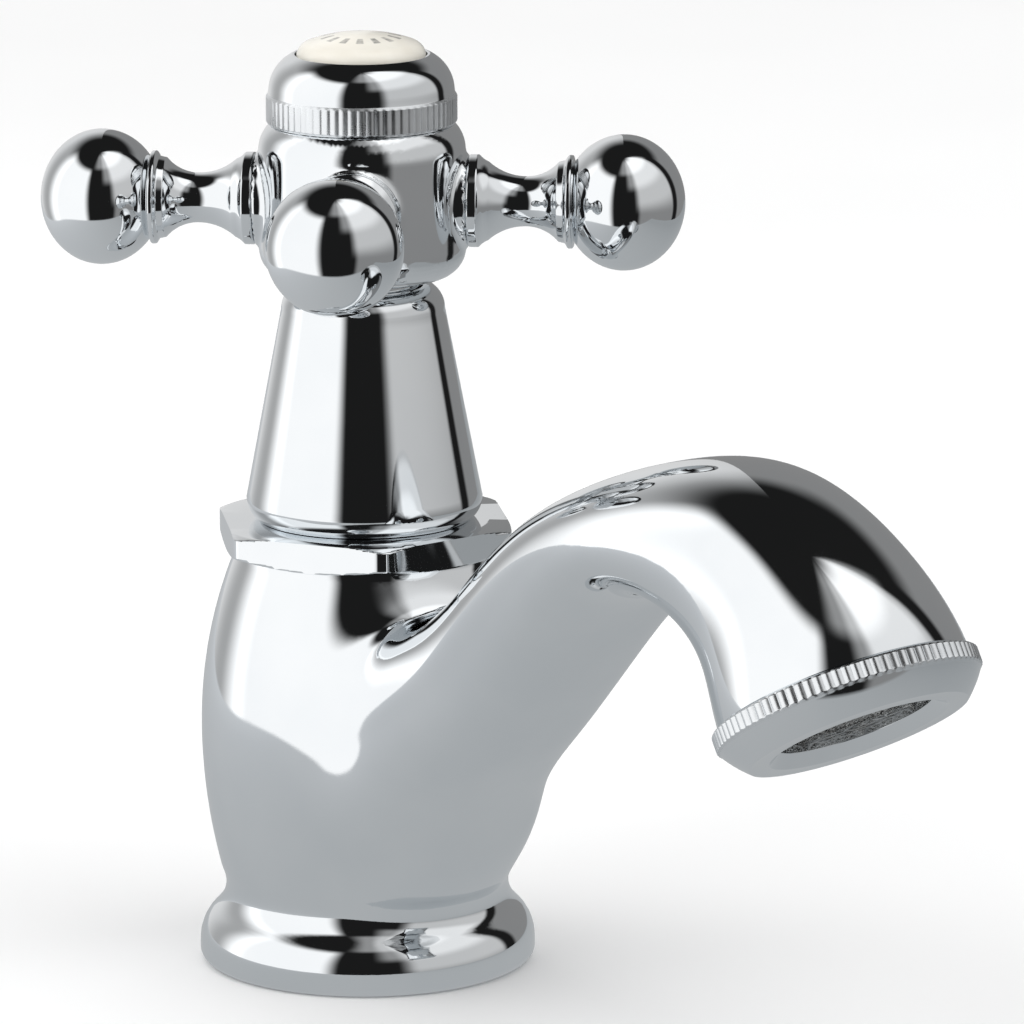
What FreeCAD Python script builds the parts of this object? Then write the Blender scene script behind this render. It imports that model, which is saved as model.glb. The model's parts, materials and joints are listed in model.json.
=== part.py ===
"""Basin pillar tap with a cross handle, a quarter-turn ceramic-disc headwork and a swan spout.

The tap stands on the plane z = 0, its barrel axis is the Z axis and its spout points to -Y.
Lengths are in millimetres and angles in degrees.
"""

import FreeCAD, Part

import math
import os
import re

import Sketcher

# ---------------------------------------------------------------- driving dimensions
SIZES = {
    # barrel of the tap body, outside
    "flange_radius": 23.0,
    "flange_edge": 1.6,
    "flange_height": 2.6,
    "flare_radius": 21.2,
    "flare_height": 7.0,
    "waist_curve": 4.6,
    "waist_radius": 19.9,
    "waist_height": 12.9,
    "belly_radius": 22.5,
    "belly_height": 33.0,
    "shoulder_radius": 17.7,
    "collar_top": 61.7,
    "collar_thickness": 2.9,
    "collar_slope": 1.6,
    "collar_corner_radius": 21.9,
    "collar_chamfer": 0.7,
    # barrel of the tap body, inside
    "inlet_radius": 9.32,
    "inlet_length": 13.0,
    "cavity_radius": 16.0,
    "cavity_rise": 7.0,
    "seat_thickness": 5.2,
    "seat_depth": 23.0,
    "seat_hole_radius": 5.5,
    "seat_land_height": 1.5,
    "chamber_radius": 14.0,
    "chamber_height": 9.8,
    "base_seal_inner_radius": 16.0,
    "base_seal_outer_radius": 20.0,
    "base_seal_depth": 1.8,
    # spout
    "outlet_reach": 101.5,
    "outlet_height": 56.8,
    "outlet_tilt": 31.1,
    "outlet_radius": 16.75,
    "spout_wall": 3.2,
    "socket_radius": 13.9,
    "socket_depth": 8.0,
    "port_reach": 9.0,
    "port_depth": 19.4,
    "port_half_width": 8.0,
    "port_half_height": 5.0,
    "port_lean": 80.0,
    "waterway_end": 0.9,
    "waterway_end_wall": 4.8,
    "socket_mouth": 1.0,
    # fits
    "seat_clearance": 0.05,
    "thread_clearance": 0.08,
    "running_clearance": 0.05,
    "turning_gap": 0.35,
    # headwork, heights from the top of the collar
    "thread_wall": 1.48,
    "thread_relief": 2.0,
    "thread_length": 11.2,
    "gasket_thickness": 0.8,
    "gasket_outer_radius": 13.0,
    "headwork_flange_radius": 12.6,
    "headwork_flange_height": 4.6,
    "shroud_seal_groove": 1.1,
    "shroud_seal_height": 1.8,
    "wrench_corner_radius": 11.4,
    "wrench_height": 4.0,
    "wrench_overlap": 1.0,
    "headwork_neck_radius": 8.45,
    "headwork_height": 14.6,
    "skirt_wall": 1.4,
    "disc_radius": 7.6,
    "disc_thickness": 2.5,
    "disc_port_inner_radius": 1.8,
    "disc_port_outer_radius": 6.3,
    "disc_port_half_angle": 40.0,
    "disc_seal_inner_radius": 5.7,
    "disc_seal_flange": 1.4,
    "disc_seal_lip": 1.1,
    "drive_thickness": 2.5,
    "drive_tongue_width": 3.0,
    "drive_tongue_length": 12.0,
    "drive_tongue_depth": 1.0,
    "thrust_washer_thickness": 0.4,
    "window_width": 8.0,
    "spindle_radius": 4.0,
    "spindle_height": 23.0,
    "spindle_seal_depth": 1.1,
    "spindle_seal_height": 1.8,
    "upper_spindle_seal": -2.0,
    "lower_spindle_seal": -6.0,
    "clip_thickness": 0.7,
    "clip_depth": 0.7,
    "clip_radius": 6.0,
    # spindle extension, shroud
    "extension_foot": 17.0,
    "extension_socket_top": 24.0,
    "extension_socket_wall": 1.6,
    "extension_shoulder": 26.2,
    "extension_height": 39.3,
    "extension_screw_hole": 2.5,
    "extension_screw_depth": 12.0,
    "shroud_foot_radius": 14.4,
    "shroud_bulge_radius": 16.05,
    "shroud_bulge_height": 2.9,
    "shroud_bore_radius": 13.2,
    "shroud_wall": 1.6,
    "shroud_web_height": 3.7,
    "shroud_shoulder_radius": 11.1,
    "shroud_shoulder_height": 28.9,
    "shroud_rim_radius": 9.0,
    "shroud_height": 32.2,
    "shroud_lid": 2.0,
    "shroud_rest": 0.2,
    # handle
    "handle_angle": 47.5,
    "hub_neck_radius": 7.75,
    "hub_neck_foot": 26.6,
    "hub_foot": 33.8,
    "hub_foot_radius": 8.2,
    "hub_radius": 14.0,
    "hub_side_low": 37.3,
    "hub_side_high": 50.6,
    "hub_rim_radius": 12.4,
    "hub_height": 54.3,
    "hub_web": 3.0,
    "hub_screw_hole": 2.9,
    "hub_pit_radius": 6.0,
    "cap_thread_radius": 9.6,
    "cap_thread_depth": 5.5,
    "bush_wall": 2.1,
    "arm_height": 43.8,
    "arm_collar_radius": 6.25,
    "arm_start": 14.45,
    "arm_stud_radius": 3.1,
    "arm_stud_length": 4.8,
    "arm_collar_length": 1.35,
    "arm_waist_radius": 3.37,
    "arm_waist_distance": 22.2,
    "arm_neck_distance": 17.1,
    "arm_neck_radius": 5.3,
    "arm_throat_distance": 26.6,
    "arm_throat_radius": 5.4,
    "arm_bead_radius": 6.3,
    "arm_bead_start": 27.9,
    "arm_bead_end": 28.6,
    "ball_distance": 35.4,
    "ball_round": 8.25,
    "ball_flat": 0.92,
    "screw_radius": 2.4,
    "screw_length": 14.0,
    "screw_head_radius": 4.4,
    "screw_head_height": 3.2,
    "screw_socket_radius": 1.9,
    "screw_socket_depth": 2.0,
    "washer_thickness": 0.8,
    "washer_radius": 5.2,
    "washer_clearance": 0.24,
    # cap ring and index disc
    "cap_skirt_wall": 1.9,
    "cap_knurl_radius": 12.9,
    "cap_knurl_chamfer": 0.5,
    "cap_knurl_height": 3.8,
    "cap_dome_radius": 12.55,
    "cap_rim_radius": 9.3,
    "cap_rest": 0.2,
    "cap_height": 9.4,
    "index_radius": 8.8,
    "index_depth": 2.65,
    "index_side": 2.25,
    "index_shoulder_rise": 2.1,
    "index_shoulder_run": 1.6,
    "index_crown": 1.2,
    "index_seal_depth": 0.7,
    "index_seal_height": 1.0,
    "index_seal_lift": 0.55,
    # aerator, heights from the mouth of the spout, positive into the spout
    "ring_radius": 17.84,
    "ring_band": 2.7,
    "ring_chamfer": 0.35,
    "ring_nose_radius": 14.67,
    "ring_nose": 3.26,
    "ring_nose_curve": 8.0,
    "ring_mouth_radius": 12.0,
    "ring_throat_radius": 10.4,
    "ring_mouth_depth": 1.6,
    "ring_shelf": 2.6,
    "ring_sleeve_wall": 2.3,
    "ring_sleeve_height": 6.4,
    "screen_thickness": 0.6,
    "insert_height": 6.0,
    "insert_wall": 1.2,
    "flow_disc_thickness": 1.6,
    "flow_hole_radius": 1.1,
    "flow_hole_circle": 7.0,
    "screen_hole_step": 2.97,
    "outlet_washer_inner_radius": 9.2,
}

# Sections of the spout: share of the reach, height from the datum named, lean of the section
# from level, half-width, half-height, squareness of the superellipse and the share by which it
# widens towards its upper side.
SECTIONS = [
    ("root", 0.057, "collar_top", -34.8, 60.1, 18.5, 21.4, 2.1, 0.0),
    ("throat", 0.186, "collar_top", -26.7, 56.3, 15.4, 16.0, 2.6, 0.05),
    ("lift", 0.308, "collar_top", -17.4, 49.0, 12.9, 11.3, 2.9, 0.1),
    ("climb", 0.421, "outlet_height", -1.4, 44.6, 13.1, 9.5, 2.8, 0.1),
    ("bend", 0.535, "outlet_height", 9.0, 54.2, 14.4, 8.4, 2.6, 0.05),
    ("crest", 0.670, "outlet_height", 15.3, 78.4, 15.0, 8.5, 2.4, 0.0),
    ("turn", 0.824, "outlet_height", 14.6, 107.3, 14.3, 11.8, 2.2, 0.0),
    ("drop", 0.922, "outlet_height", 9.2, 129.0, 15.0, 14.4, 2.1, 0.0),
]
SECTION_FIELDS = ("share", "rise", "lean", "half_width", "half_height", "squareness", "spread")
for name, share, datum, *form in SECTIONS:
    for field, number in zip(SECTION_FIELDS, (share, *form)):
        SIZES[f"{name}_{field}"] = number

doc = FreeCAD.newDocument("basin_tap")
sheet = doc.addObject("Spreadsheet::Sheet", "Sizes")
for row, (alias, number) in enumerate(SIZES.items(), start=1):
    sheet.set(f"A{row}", alias.replace("_", " "))
    sheet.set(f"B{row}", str(number))
    sheet.setAlias(f"B{row}", alias)
doc.recompute()


# ---------------------------------------------------------------- tools of the model
def bind(text):
    """Return an expression with every size name pointed at the sheet."""
    return re.sub(r"[a-z][a-z_]*", lambda word: f"Sizes.{word[0]}" if word[0] in SIZES else word[0], text)


def size(text):
    """Return the present value of an expression in the sheet's names."""
    return float(sheet.evalExpression(bind(text)))


def new_body(label, up=None, out=None, turn=None, axis=(0, 0, 1)):
    """Start a body, placed by expressions for its height, reach and turn."""
    body = doc.addObject("PartDesign::Body", label)
    body.Label = label
    body.Placement = FreeCAD.Placement(FreeCAD.Vector(), FreeCAD.Rotation(FreeCAD.Vector(*axis), 1))
    body.setExpression("Placement.Rotation.Angle", bind(turn or "0"))
    if up:
        body.setExpression("Placement.Base.z", bind(up))
    if out:
        body.setExpression("Placement.Base.y", bind(f"-({out})"))
    return body


def origin_feature(body, role):
    """Return the origin plane or axis of a body by its role."""
    return [feature for feature in body.Origin.OriginFeatures if feature.Role == role][0]


def new_sketch(body, name, role="XZ_Plane"):
    """Attach a sketch to one of the body's own origin planes."""
    sketch = body.newObject("Sketcher::SketchObject", name)
    sketch.AttachmentSupport = [(origin_feature(body, role), "")]
    sketch.MapMode = "FlatFace"
    return sketch


def constrain(sketch, entries):
    """Add constraints given as (constraint, expression or None) and bind them."""
    first = sketch.ConstraintCount
    sketch.addConstraint([constraint for constraint, _ in entries])
    for index, (_, text) in enumerate(entries, start=first):
        if text:
            sketch.setExpression(f"Constraints[{index}]", bind(text))


def pin_point(edge, end, x_text, y_text):
    """Hold one end of a sketch edge at a place given by two expressions."""
    entries = []
    for kind, text, axis in (("DistanceX", x_text, -2), ("DistanceY", y_text, -1)):
        if text == "0":
            entries.append((Sketcher.Constraint("PointOnObject", edge, end, axis), None))
        else:
            entries.append((Sketcher.Constraint(kind, -1, 1, edge, end, size(text)), text))
    return entries


def arc_between(start, end, radius, side):
    """Return the short arc that bulges to the left or right of the way from start to end."""
    chord = end - start
    middle = (start + end) * 0.5
    offset = math.sqrt(max(radius**2 - (chord.Length / 2) ** 2, 0.0))
    towards = FreeCAD.Vector(chord.y, -chord.x, 0).normalize()
    if side == "right":
        towards = towards * -1
    centre = middle + towards * offset
    first, last = (end, start) if side == "left" else (start, end)
    angles = [math.atan2(point.y - centre.y, point.x - centre.x) for point in (first, last)]
    if angles[1] < angles[0]:
        angles[1] += 2 * math.pi
    circle = Part.Circle(centre, FreeCAD.Vector(0, 0, 1), radius)
    return Part.ArcOfCircle(circle, *angles)


def outline(sketch, corners):
    """Draw a closed outline.

    Each corner is (x, y) or (x, y, radius, side); the second form starts an arc of that radius
    which bulges to that side of the way round.
    """
    points = [FreeCAD.Vector(size(corner[0]), size(corner[1]), 0) for corner in corners]
    ends = []
    entries = []
    for index, corner in enumerate(corners):
        start = points[index]
        end = points[(index + 1) % len(points)]
        if len(corner) == 2:
            edge = sketch.addGeometry(Part.LineSegment(start, end), False)
            ends.append((edge, 1, 2))
        else:
            radius, side = corner[2:]
            edge = sketch.addGeometry(arc_between(start, end, size(radius), side), False)
            ends.append((edge, 2, 1) if side == "left" else (edge, 1, 2))
            entries.append((Sketcher.Constraint("Radius", edge, size(radius)), radius))
    for index, (edge, start, _) in enumerate(ends):
        before, _, last = ends[index - 1]
        entries.append((Sketcher.Constraint("Coincident", before, last, edge, start), None))
        entries += pin_point(edge, start, *corners[index][:2])
    constrain(sketch, entries)


def circle(sketch, x_text, y_text, radius):
    """Draw a circle held by expressions."""
    centre = FreeCAD.Vector(size(x_text), size(y_text), 0)
    edge = sketch.addGeometry(Part.Circle(centre, FreeCAD.Vector(0, 0, 1), size(radius)), False)
    entries = pin_point(edge, 3, x_text, y_text)
    entries.append((Sketcher.Constraint("Radius", edge, size(radius)), radius))
    constrain(sketch, entries)


def hexagon(sketch, radius):
    """Draw a hexagon with a flat that faces the spout, held by its corner radius."""
    corners = []
    for step in range(6):
        turn = 60 * step
        corners.append((f"{radius} * cos({turn})", f"{radius} * sin({turn})" if step % 3 else "0"))
    outline(sketch, corners)


def turned(body, name, corners, kind="Revolution", axis="V_Axis"):
    """Turn an outline (radius, height) about the body's axis, as solid or as cut."""
    sketch = new_sketch(body, f"{name}_outline")
    outline(sketch, corners)
    feature = body.newObject(f"PartDesign::{kind}", name)
    feature.Profile = sketch
    feature.ReferenceAxis = (sketch, [axis])
    feature.Angle = 360
    sketch.Visibility = False
    body.Tip = feature
    return feature


def ring_section(inner, outer, low, high):
    """Return the corners of a rectangle between two radii and two heights."""
    return [(inner, low), (outer, low), (outer, high), (inner, high)]


def extruded(body, name, sketch, length, kind="Pad", lift=None, through=False, both=False, back=False):
    """Pad or pocket a sketch."""
    if lift:
        sketch.setExpression("AttachmentOffset.Base.z", bind(lift))
    feature = body.newObject(f"PartDesign::{kind}", name)
    feature.Profile = sketch
    if through:
        feature.Type = "ThroughAll"
    else:
        feature.setExpression("Length", bind(length))
    if both:
        feature.SideType = "Symmetric"
    feature.Reversed = back
    sketch.Visibility = False
    body.Tip = feature
    return feature


def patterned(body, name, feature, count):
    """Repeat a feature evenly about the body's axis."""
    pattern = body.newObject("PartDesign::PolarPattern", name)
    pattern.Originals = [feature]
    pattern.Axis = (origin_feature(body, "Z_Axis"), [""])
    pattern.Angle = 360
    pattern.Occurrences = count
    body.Tip = pattern
    return pattern


def quarter_curve(rise, run):
    """Return the radius of an arc that leaves upright and moves in by run over rise."""
    return f"(({rise})^2 + ({run})^2) / (2 * ({run}))"


pieces = []


def piece(body):
    """Mark a finished object as one of the tap's pieces."""
    pieces.append(body)
    return body


# ---------------------------------------------------------------- tap body
SHOULDER_HEIGHT = "(collar_top - collar_thickness - collar_slope)"
SEAT_HEIGHT = "(collar_top - seat_depth)"
SKIRT_RADIUS = "(disc_radius + skirt_wall)"
THREAD_RADIUS = f"({SKIRT_RADIUS} + thread_wall)"


def build_blank():
    """Turned barrel with its hexagonal collar."""
    body = new_body("barrel_blank")
    lower = quarter_curve("belly_height - waist_height", "belly_radius - waist_radius")
    upper = quarter_curve(f"{SHOULDER_HEIGHT} - belly_height", "belly_radius - shoulder_radius")
    flare = quarter_curve("flare_height - flange_height", "flange_radius - flare_radius")
    turned(body, "barrel", [
        ("0", "0"),
        ("flange_radius - flange_edge", "0", "flange_edge", "right"),
        ("flange_radius", "flange_edge"),
        ("flange_radius", "flange_height", flare, "right"),
        ("flare_radius", "flare_height", "waist_curve", "left"),
        ("waist_radius", "waist_height", lower, "right"),
        ("belly_radius", "belly_height", upper, "right"),
        ("shoulder_radius", SHOULDER_HEIGHT),
        ("shoulder_radius", "collar_top"),
        ("0", "collar_top"),
    ])
    sketch = new_sketch(body, "collar_outline", "XY_Plane")
    hexagon(sketch, "collar_corner_radius")
    height = "collar_thickness + collar_slope"
    extruded(body, "collar", sketch, height, lift=SHOULDER_HEIGHT)
    beyond = "collar_corner_radius + collar_slope"
    turned(body, "collar_underside", [
        ("shoulder_radius", SHOULDER_HEIGHT),
        (beyond, SHOULDER_HEIGHT),
        (beyond, "collar_top - collar_thickness"),
        ("collar_corner_radius", "collar_top - collar_thickness"),
    ], "Groove")
    turned(body, "collar_top_edge", [
        ("collar_corner_radius - 2 * collar_chamfer", "collar_top"),
        ("collar_corner_radius", "collar_top - collar_chamfer"),
        (beyond, "collar_top - collar_chamfer"),
        (beyond, "collar_top"),
    ], "Groove")
    return body


def section_wire(centre, lean, half_width, half_height, squareness=2, spread=0):
    """Return a closed superellipse that leans from level about the X axis and widens upward."""
    count = 48
    points = []
    for step in range(count):
        angle = 2 * math.pi * step / count
        across = math.copysign(abs(math.cos(angle)) ** (2 / squareness), math.cos(angle))
        along = math.copysign(abs(math.sin(angle)) ** (2 / squareness), math.sin(angle))
        width = half_width * (1 + spread * along)
        points.append(FreeCAD.Vector(width * across, half_height * along, 0))
    curve = Part.BSplineCurve()
    curve.interpolate(points, PeriodicFlag=True)
    wire = Part.Wire(curve.toShape())
    turn = FreeCAD.Rotation(FreeCAD.Vector(1, 0, 0), lean)
    wire.Placement = FreeCAD.Placement(centre, turn)
    return wire


def spout_sections(names, inset):
    """Return the wires of the named sections, drawn in by inset."""
    wires = []
    for name, _, datum, *_ in SECTIONS:
        if name not in names:
            continue
        centre = FreeCAD.Vector(
            0,
            -size(f"{name}_share * outlet_reach"),
            size(f"{datum} + {name}_rise"),
        )
        wires.append(section_wire(
            centre,
            size(f"{name}_lean"),
            size(f"{name}_half_width") - inset,
            size(f"{name}_half_height") - inset,
            size(f"{name}_squareness"),
            size(f"{name}_spread"),
        ))
    return wires


def mouth_point(depth):
    """Return the point on the outlet's axis at a depth inside the spout's mouth."""
    tilt = math.radians(size("outlet_tilt"))
    return FreeCAD.Vector(
        0,
        -size("outlet_reach") + depth * math.sin(tilt),
        size("outlet_height") + depth * math.cos(tilt),
    )


def build_spout():
    """Outer skin of the spout, lofted from superellipse sections."""
    wires = spout_sections([section[0] for section in SECTIONS], 0)
    lean = 180 - size("outlet_tilt")
    mouth = section_wire(mouth_point(0), lean, size("outlet_radius"), size("outlet_radius"))
    skin = doc.addObject("Part::Feature", "spout_skin")
    skin.Shape = Part.makeLoft(wires + [mouth], True, False)
    return skin


def build_waterway():
    """Cored waterway from the valve chamber to the outlet socket."""
    port = section_wire(
        FreeCAD.Vector(0, -size("port_reach"), size("collar_top - port_depth")),
        size("port_lean"),
        size("port_half_width"),
        size("port_half_height"),
    )
    wires = [port] + spout_sections(["lift", "climb", "bend", "crest", "turn"], size("spout_wall"))
    bore = size("outlet_radius - waterway_end_wall")
    lean = 180 - size("outlet_tilt")
    end = section_wire(mouth_point(size("waterway_end * socket_depth")), lean, bore, bore)
    way = doc.addObject("Part::Feature", "waterway")
    way.Shape = Part.makeLoft(wires + [end], True, False)
    return way


def build_core():
    """Everything that is hollow on the barrel's axis: inlet, cavity, seat hole and chamber."""
    body = new_body("barrel_core")
    cavity_low = "(inlet_length + cavity_rise)"
    cavity_high = f"({SEAT_HEIGHT} - seat_thickness - (cavity_radius - seat_hole_radius) / 2)"
    chamber_low = f"({SEAT_HEIGHT} - seat_land_height)"
    chamber_high = f"({chamber_low} + chamber_height)"
    turned(body, "passages", [
        ("0", "0"),
        ("inlet_radius", "0"),
        ("inlet_radius", "inlet_length"),
        ("cavity_radius", cavity_low),
        ("cavity_radius", cavity_high),
        ("seat_hole_radius", f"{SEAT_HEIGHT} - seat_thickness"),
        ("seat_hole_radius", SEAT_HEIGHT),
        (SKIRT_RADIUS, SEAT_HEIGHT),
        (SKIRT_RADIUS, chamber_low),
        ("chamber_radius", chamber_low),
        ("chamber_radius", chamber_high),
        (THREAD_RADIUS, f"{chamber_high} + chamber_radius - {THREAD_RADIUS}"),
        (THREAD_RADIUS, "collar_top"),
        ("0", "collar_top"),
    ])
    return body


def build_seal_recess():
    """Ring recess under the flange for the base seal."""
    body = new_body("base_recess")
    turned(body, "recess", ring_section(
        "base_seal_inner_radius", "base_seal_outer_radius", "0", "base_seal_depth"
    ))
    return body


def build_socket():
    """Socket in the spout's mouth for the aerator ring."""
    body = new_body("outlet_socket", "outlet_height", "outlet_reach", "outlet_tilt", (-1, 0, 0))
    turned(body, "socket", [
        ("0", "-socket_mouth"),
        ("socket_radius", "-socket_mouth"),
        ("socket_radius", "socket_depth"),
        ("0", "socket_depth"),
    ])
    return body


def build_tap_body():
    """Casting: the blank and spout in one, less the core."""
    casting = doc.addObject("Part::Fuse", "casting")
    casting.Base = build_blank()
    casting.Tool = build_spout()
    hollow = doc.addObject("Part::MultiFuse", "hollow")
    hollow.Shapes = [build_core(), build_waterway(), build_seal_recess(), build_socket()]
    body = doc.addObject("Part::Cut", "tap_body")
    body.Base = casting
    body.Tool = hollow
    body.Label = "tap_body"
    piece(body)


def build_base_seal():
    """Rubber ring between the flange and the deck."""
    body = piece(new_body("base_seal"))
    turned(body, "ring", ring_section(
        "base_seal_inner_radius + seat_clearance",
        "base_seal_outer_radius - seat_clearance",
        "0",
        "base_seal_depth - seat_clearance",
    ))


# ---------------------------------------------------------------- headwork
# Heights in this group are measured from the top of the collar.
SKIRT_LOW = "(disc_seal_flange - seat_depth)"
FIXED_DISC_LOW = "(disc_seal_flange + disc_seal_lip - seat_depth)"
MOVING_DISC_LOW = f"({FIXED_DISC_LOW} + disc_thickness + running_clearance)"
DRIVE_LOW = f"({MOVING_DISC_LOW} + disc_thickness + seat_clearance)"
DRIVE_HIGH = f"({DRIVE_LOW} + drive_thickness)"
THRUST_LOW = f"({DRIVE_HIGH} + running_clearance)"
STOP_HEIGHT = f"({THRUST_LOW} + thrust_washer_thickness + seat_clearance)"
FLANGE_TOP = "(gasket_thickness + headwork_flange_height)"
WRENCH_TOP = f"({FLANGE_TOP} + wrench_height)"
SHROUD_SEAL_LOW = "(gasket_thickness + headwork_flange_height / 2 - shroud_seal_height / 2)"
DRIVE_RADIUS = "(disc_radius - 2 * thread_clearance)"


def build_headwork_body():
    """Brass headwork with its thread, flange, wrench flats and windowed skirt."""
    body = piece(new_body("headwork_body", "collar_top"))
    bore = "spindle_radius + running_clearance"
    chamber = "disc_radius + seat_clearance"
    neck = f"{THREAD_RADIUS} - thread_relief"
    thread = f"{THREAD_RADIUS} - thread_clearance"
    groove = "headwork_flange_radius - shroud_seal_groove"
    turned(body, "turning", [
        (chamber, SKIRT_LOW),
        (SKIRT_RADIUS, SKIRT_LOW),
        (SKIRT_RADIUS, "-thread_length"),
        (thread, "-thread_length"),
        (thread, "-gasket_thickness"),
        (neck, "-gasket_thickness"),
        (neck, "gasket_thickness"),
        ("headwork_flange_radius", "gasket_thickness"),
        ("headwork_flange_radius", SHROUD_SEAL_LOW),
        (groove, SHROUD_SEAL_LOW),
        (groove, f"{SHROUD_SEAL_LOW} + shroud_seal_height"),
        ("headwork_flange_radius", f"{SHROUD_SEAL_LOW} + shroud_seal_height"),
        ("headwork_flange_radius", FLANGE_TOP),
        ("headwork_neck_radius", FLANGE_TOP),
        ("headwork_neck_radius", "headwork_height"),
        (bore, "headwork_height"),
        (bore, STOP_HEIGHT),
        (chamber, STOP_HEIGHT),
    ])
    sketch = new_sketch(body, "wrench_outline", "XY_Plane")
    hexagon(sketch, "wrench_corner_radius")
    circle(sketch, "0", "0", "headwork_neck_radius - wrench_overlap")
    extruded(body, "wrench_flats", sketch, "wrench_height", lift=FLANGE_TOP)
    for role in ("XZ_Plane", "YZ_Plane"):
        window = new_sketch(body, f"window_{role[:2]}", role)
        outline(window, ring_section("-window_width / 2", "window_width / 2", DRIVE_LOW, DRIVE_HIGH))
        extruded(body, f"windows_{role[:2]}", window, f"4 * {SKIRT_RADIUS}", "Pocket", both=True)


def build_headwork_gasket():
    """Fibre washer between the headwork flange and the collar."""
    body = piece(new_body("headwork_gasket", "collar_top"))
    turned(body, "ring", ring_section(
        f"{THREAD_RADIUS} + seat_clearance", "gasket_outer_radius", "0", "gasket_thickness"
    ))


def build_disc_seal():
    """Rubber seal that presses the fixed disc's ports onto the seat."""
    body = piece(new_body("disc_seal", "collar_top"))
    turned(body, "ring", [
        ("disc_seal_inner_radius", "-seat_depth"),
        (f"{SKIRT_RADIUS} - seat_clearance", "-seat_depth"),
        (f"{SKIRT_RADIUS} - seat_clearance", SKIRT_LOW),
        ("disc_radius - seat_clearance", SKIRT_LOW),
        ("disc_radius - seat_clearance", FIXED_DISC_LOW),
        ("disc_seal_inner_radius", FIXED_DISC_LOW),
    ])


def cut_ports(body, low, turn):
    """Cut two opposite sector ports, centred on the given angle, up from the given height."""
    sketch = new_sketch(body, "port_outline", "XY_Plane")
    corners = []
    for radius, side in (("disc_port_outer_radius", 1), ("disc_port_inner_radius", -1)):
        for sign in (-side, side):
            angle = f"({turn} + {sign} * disc_port_half_angle)"
            corners.append((f"{radius} * cos({angle})", f"{radius} * sin({angle})"))
    corners[0] += ("disc_port_outer_radius", "right")
    corners[2] += ("disc_port_inner_radius", "left")
    outline(sketch, corners)
    port = extruded(body, "port", sketch, "2 * disc_thickness", "Pocket", lift=low, back=True)
    patterned(body, "ports", port, 2)


def build_discs():
    """The fixed ceramic disc and the moving one, whose ports are a quarter turn apart when shut."""
    fixed = piece(new_body("fixed_disc", "collar_top"))
    top = f"{FIXED_DISC_LOW} + disc_thickness"
    turned(fixed, "disc", ring_section("0", "disc_radius", FIXED_DISC_LOW, top))
    cut_ports(fixed, FIXED_DISC_LOW, 0)
    moving = piece(new_body("moving_disc", "collar_top"))
    top = f"{MOVING_DISC_LOW} + disc_thickness"
    turned(moving, "disc", ring_section("0", DRIVE_RADIUS, MOVING_DISC_LOW, top))
    cut_ports(moving, MOVING_DISC_LOW, 90)
    slot = new_sketch(moving, "slot_outline", "XY_Plane")
    length = "(drive_tongue_length / 2 + seat_clearance)"
    width = "(drive_tongue_width / 2 + seat_clearance)"
    outline(slot, ring_section(f"-{length}", length, f"-{width}", width))
    extruded(moving, "slot", slot, "drive_tongue_depth + 2 * seat_clearance", "Pocket", lift=top)


def build_thrust_washer():
    """Slippery washer that the spindle's drive plate bears on."""
    body = piece(new_body("thrust_washer", "collar_top"))
    top = f"{THRUST_LOW} + thrust_washer_thickness"
    inner = "spindle_radius + 2 * running_clearance"
    turned(body, "ring", ring_section(inner, DRIVE_RADIUS, THRUST_LOW, top))


def build_spindle():
    """Spindle with its drive plate, tongue, two seal grooves and a clip groove."""
    body = piece(new_body("spindle", "collar_top"))
    corners = [("0", DRIVE_LOW), (DRIVE_RADIUS, DRIVE_LOW)]
    corners += [(DRIVE_RADIUS, DRIVE_HIGH), ("spindle_radius", DRIVE_HIGH)]
    seals = "spindle_radius - spindle_seal_depth"
    clip_low = "headwork_height + running_clearance"
    grooves = [
        ("lower_spindle_seal", "lower_spindle_seal + spindle_seal_height", seals),
        ("upper_spindle_seal", "upper_spindle_seal + spindle_seal_height", seals),
        (clip_low, f"{clip_low} + clip_thickness + 2 * seat_clearance", "spindle_radius - clip_depth"),
    ]
    for low, high, radius in grooves:
        corners += [("spindle_radius", low), (radius, low), (radius, high), ("spindle_radius", high)]
    corners += [("spindle_radius", "spindle_height"), ("0", "spindle_height")]
    turned(body, "turning", corners)
    cut_ports(body, DRIVE_LOW, 90)
    tongue = new_sketch(body, "tongue_outline", "XY_Plane")
    length = "drive_tongue_length / 2"
    width = "drive_tongue_width / 2"
    outline(tongue, ring_section(f"-{length}", length, f"-{width}", width))
    extruded(body, "tongue", tongue, "drive_tongue_depth", lift=DRIVE_LOW, back=True)


def build_spindle_seals():
    """Two rubber rings that ride in the spindle's grooves."""
    for place in ("lower", "upper"):
        body = piece(new_body(f"{place}_spindle_seal", "collar_top"))
        low = f"{place}_spindle_seal + seat_clearance"
        high = f"{place}_spindle_seal + spindle_seal_height - seat_clearance"
        inner = "spindle_radius - spindle_seal_depth + seat_clearance"
        turned(body, "ring", ring_section(inner, "spindle_radius + running_clearance / 2", low, high))


def build_spindle_clip():
    """Spring clip that keeps the spindle in the headwork."""
    body = piece(new_body("spindle_clip", "collar_top"))
    low = "headwork_height + running_clearance + seat_clearance"
    inner = "spindle_radius - clip_depth + seat_clearance"
    turned(body, "ring", ring_section(inner, "clip_radius", low, f"{low} + clip_thickness"))
    gap = new_sketch(body, "gap_outline", "XY_Plane")
    outline(gap, ring_section("-clip_depth * 2", "clip_depth * 2", "0", "2 * clip_radius"))
    extruded(body, "gap", gap, "2 * clip_thickness", "Pocket", lift=low, back=True)


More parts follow.
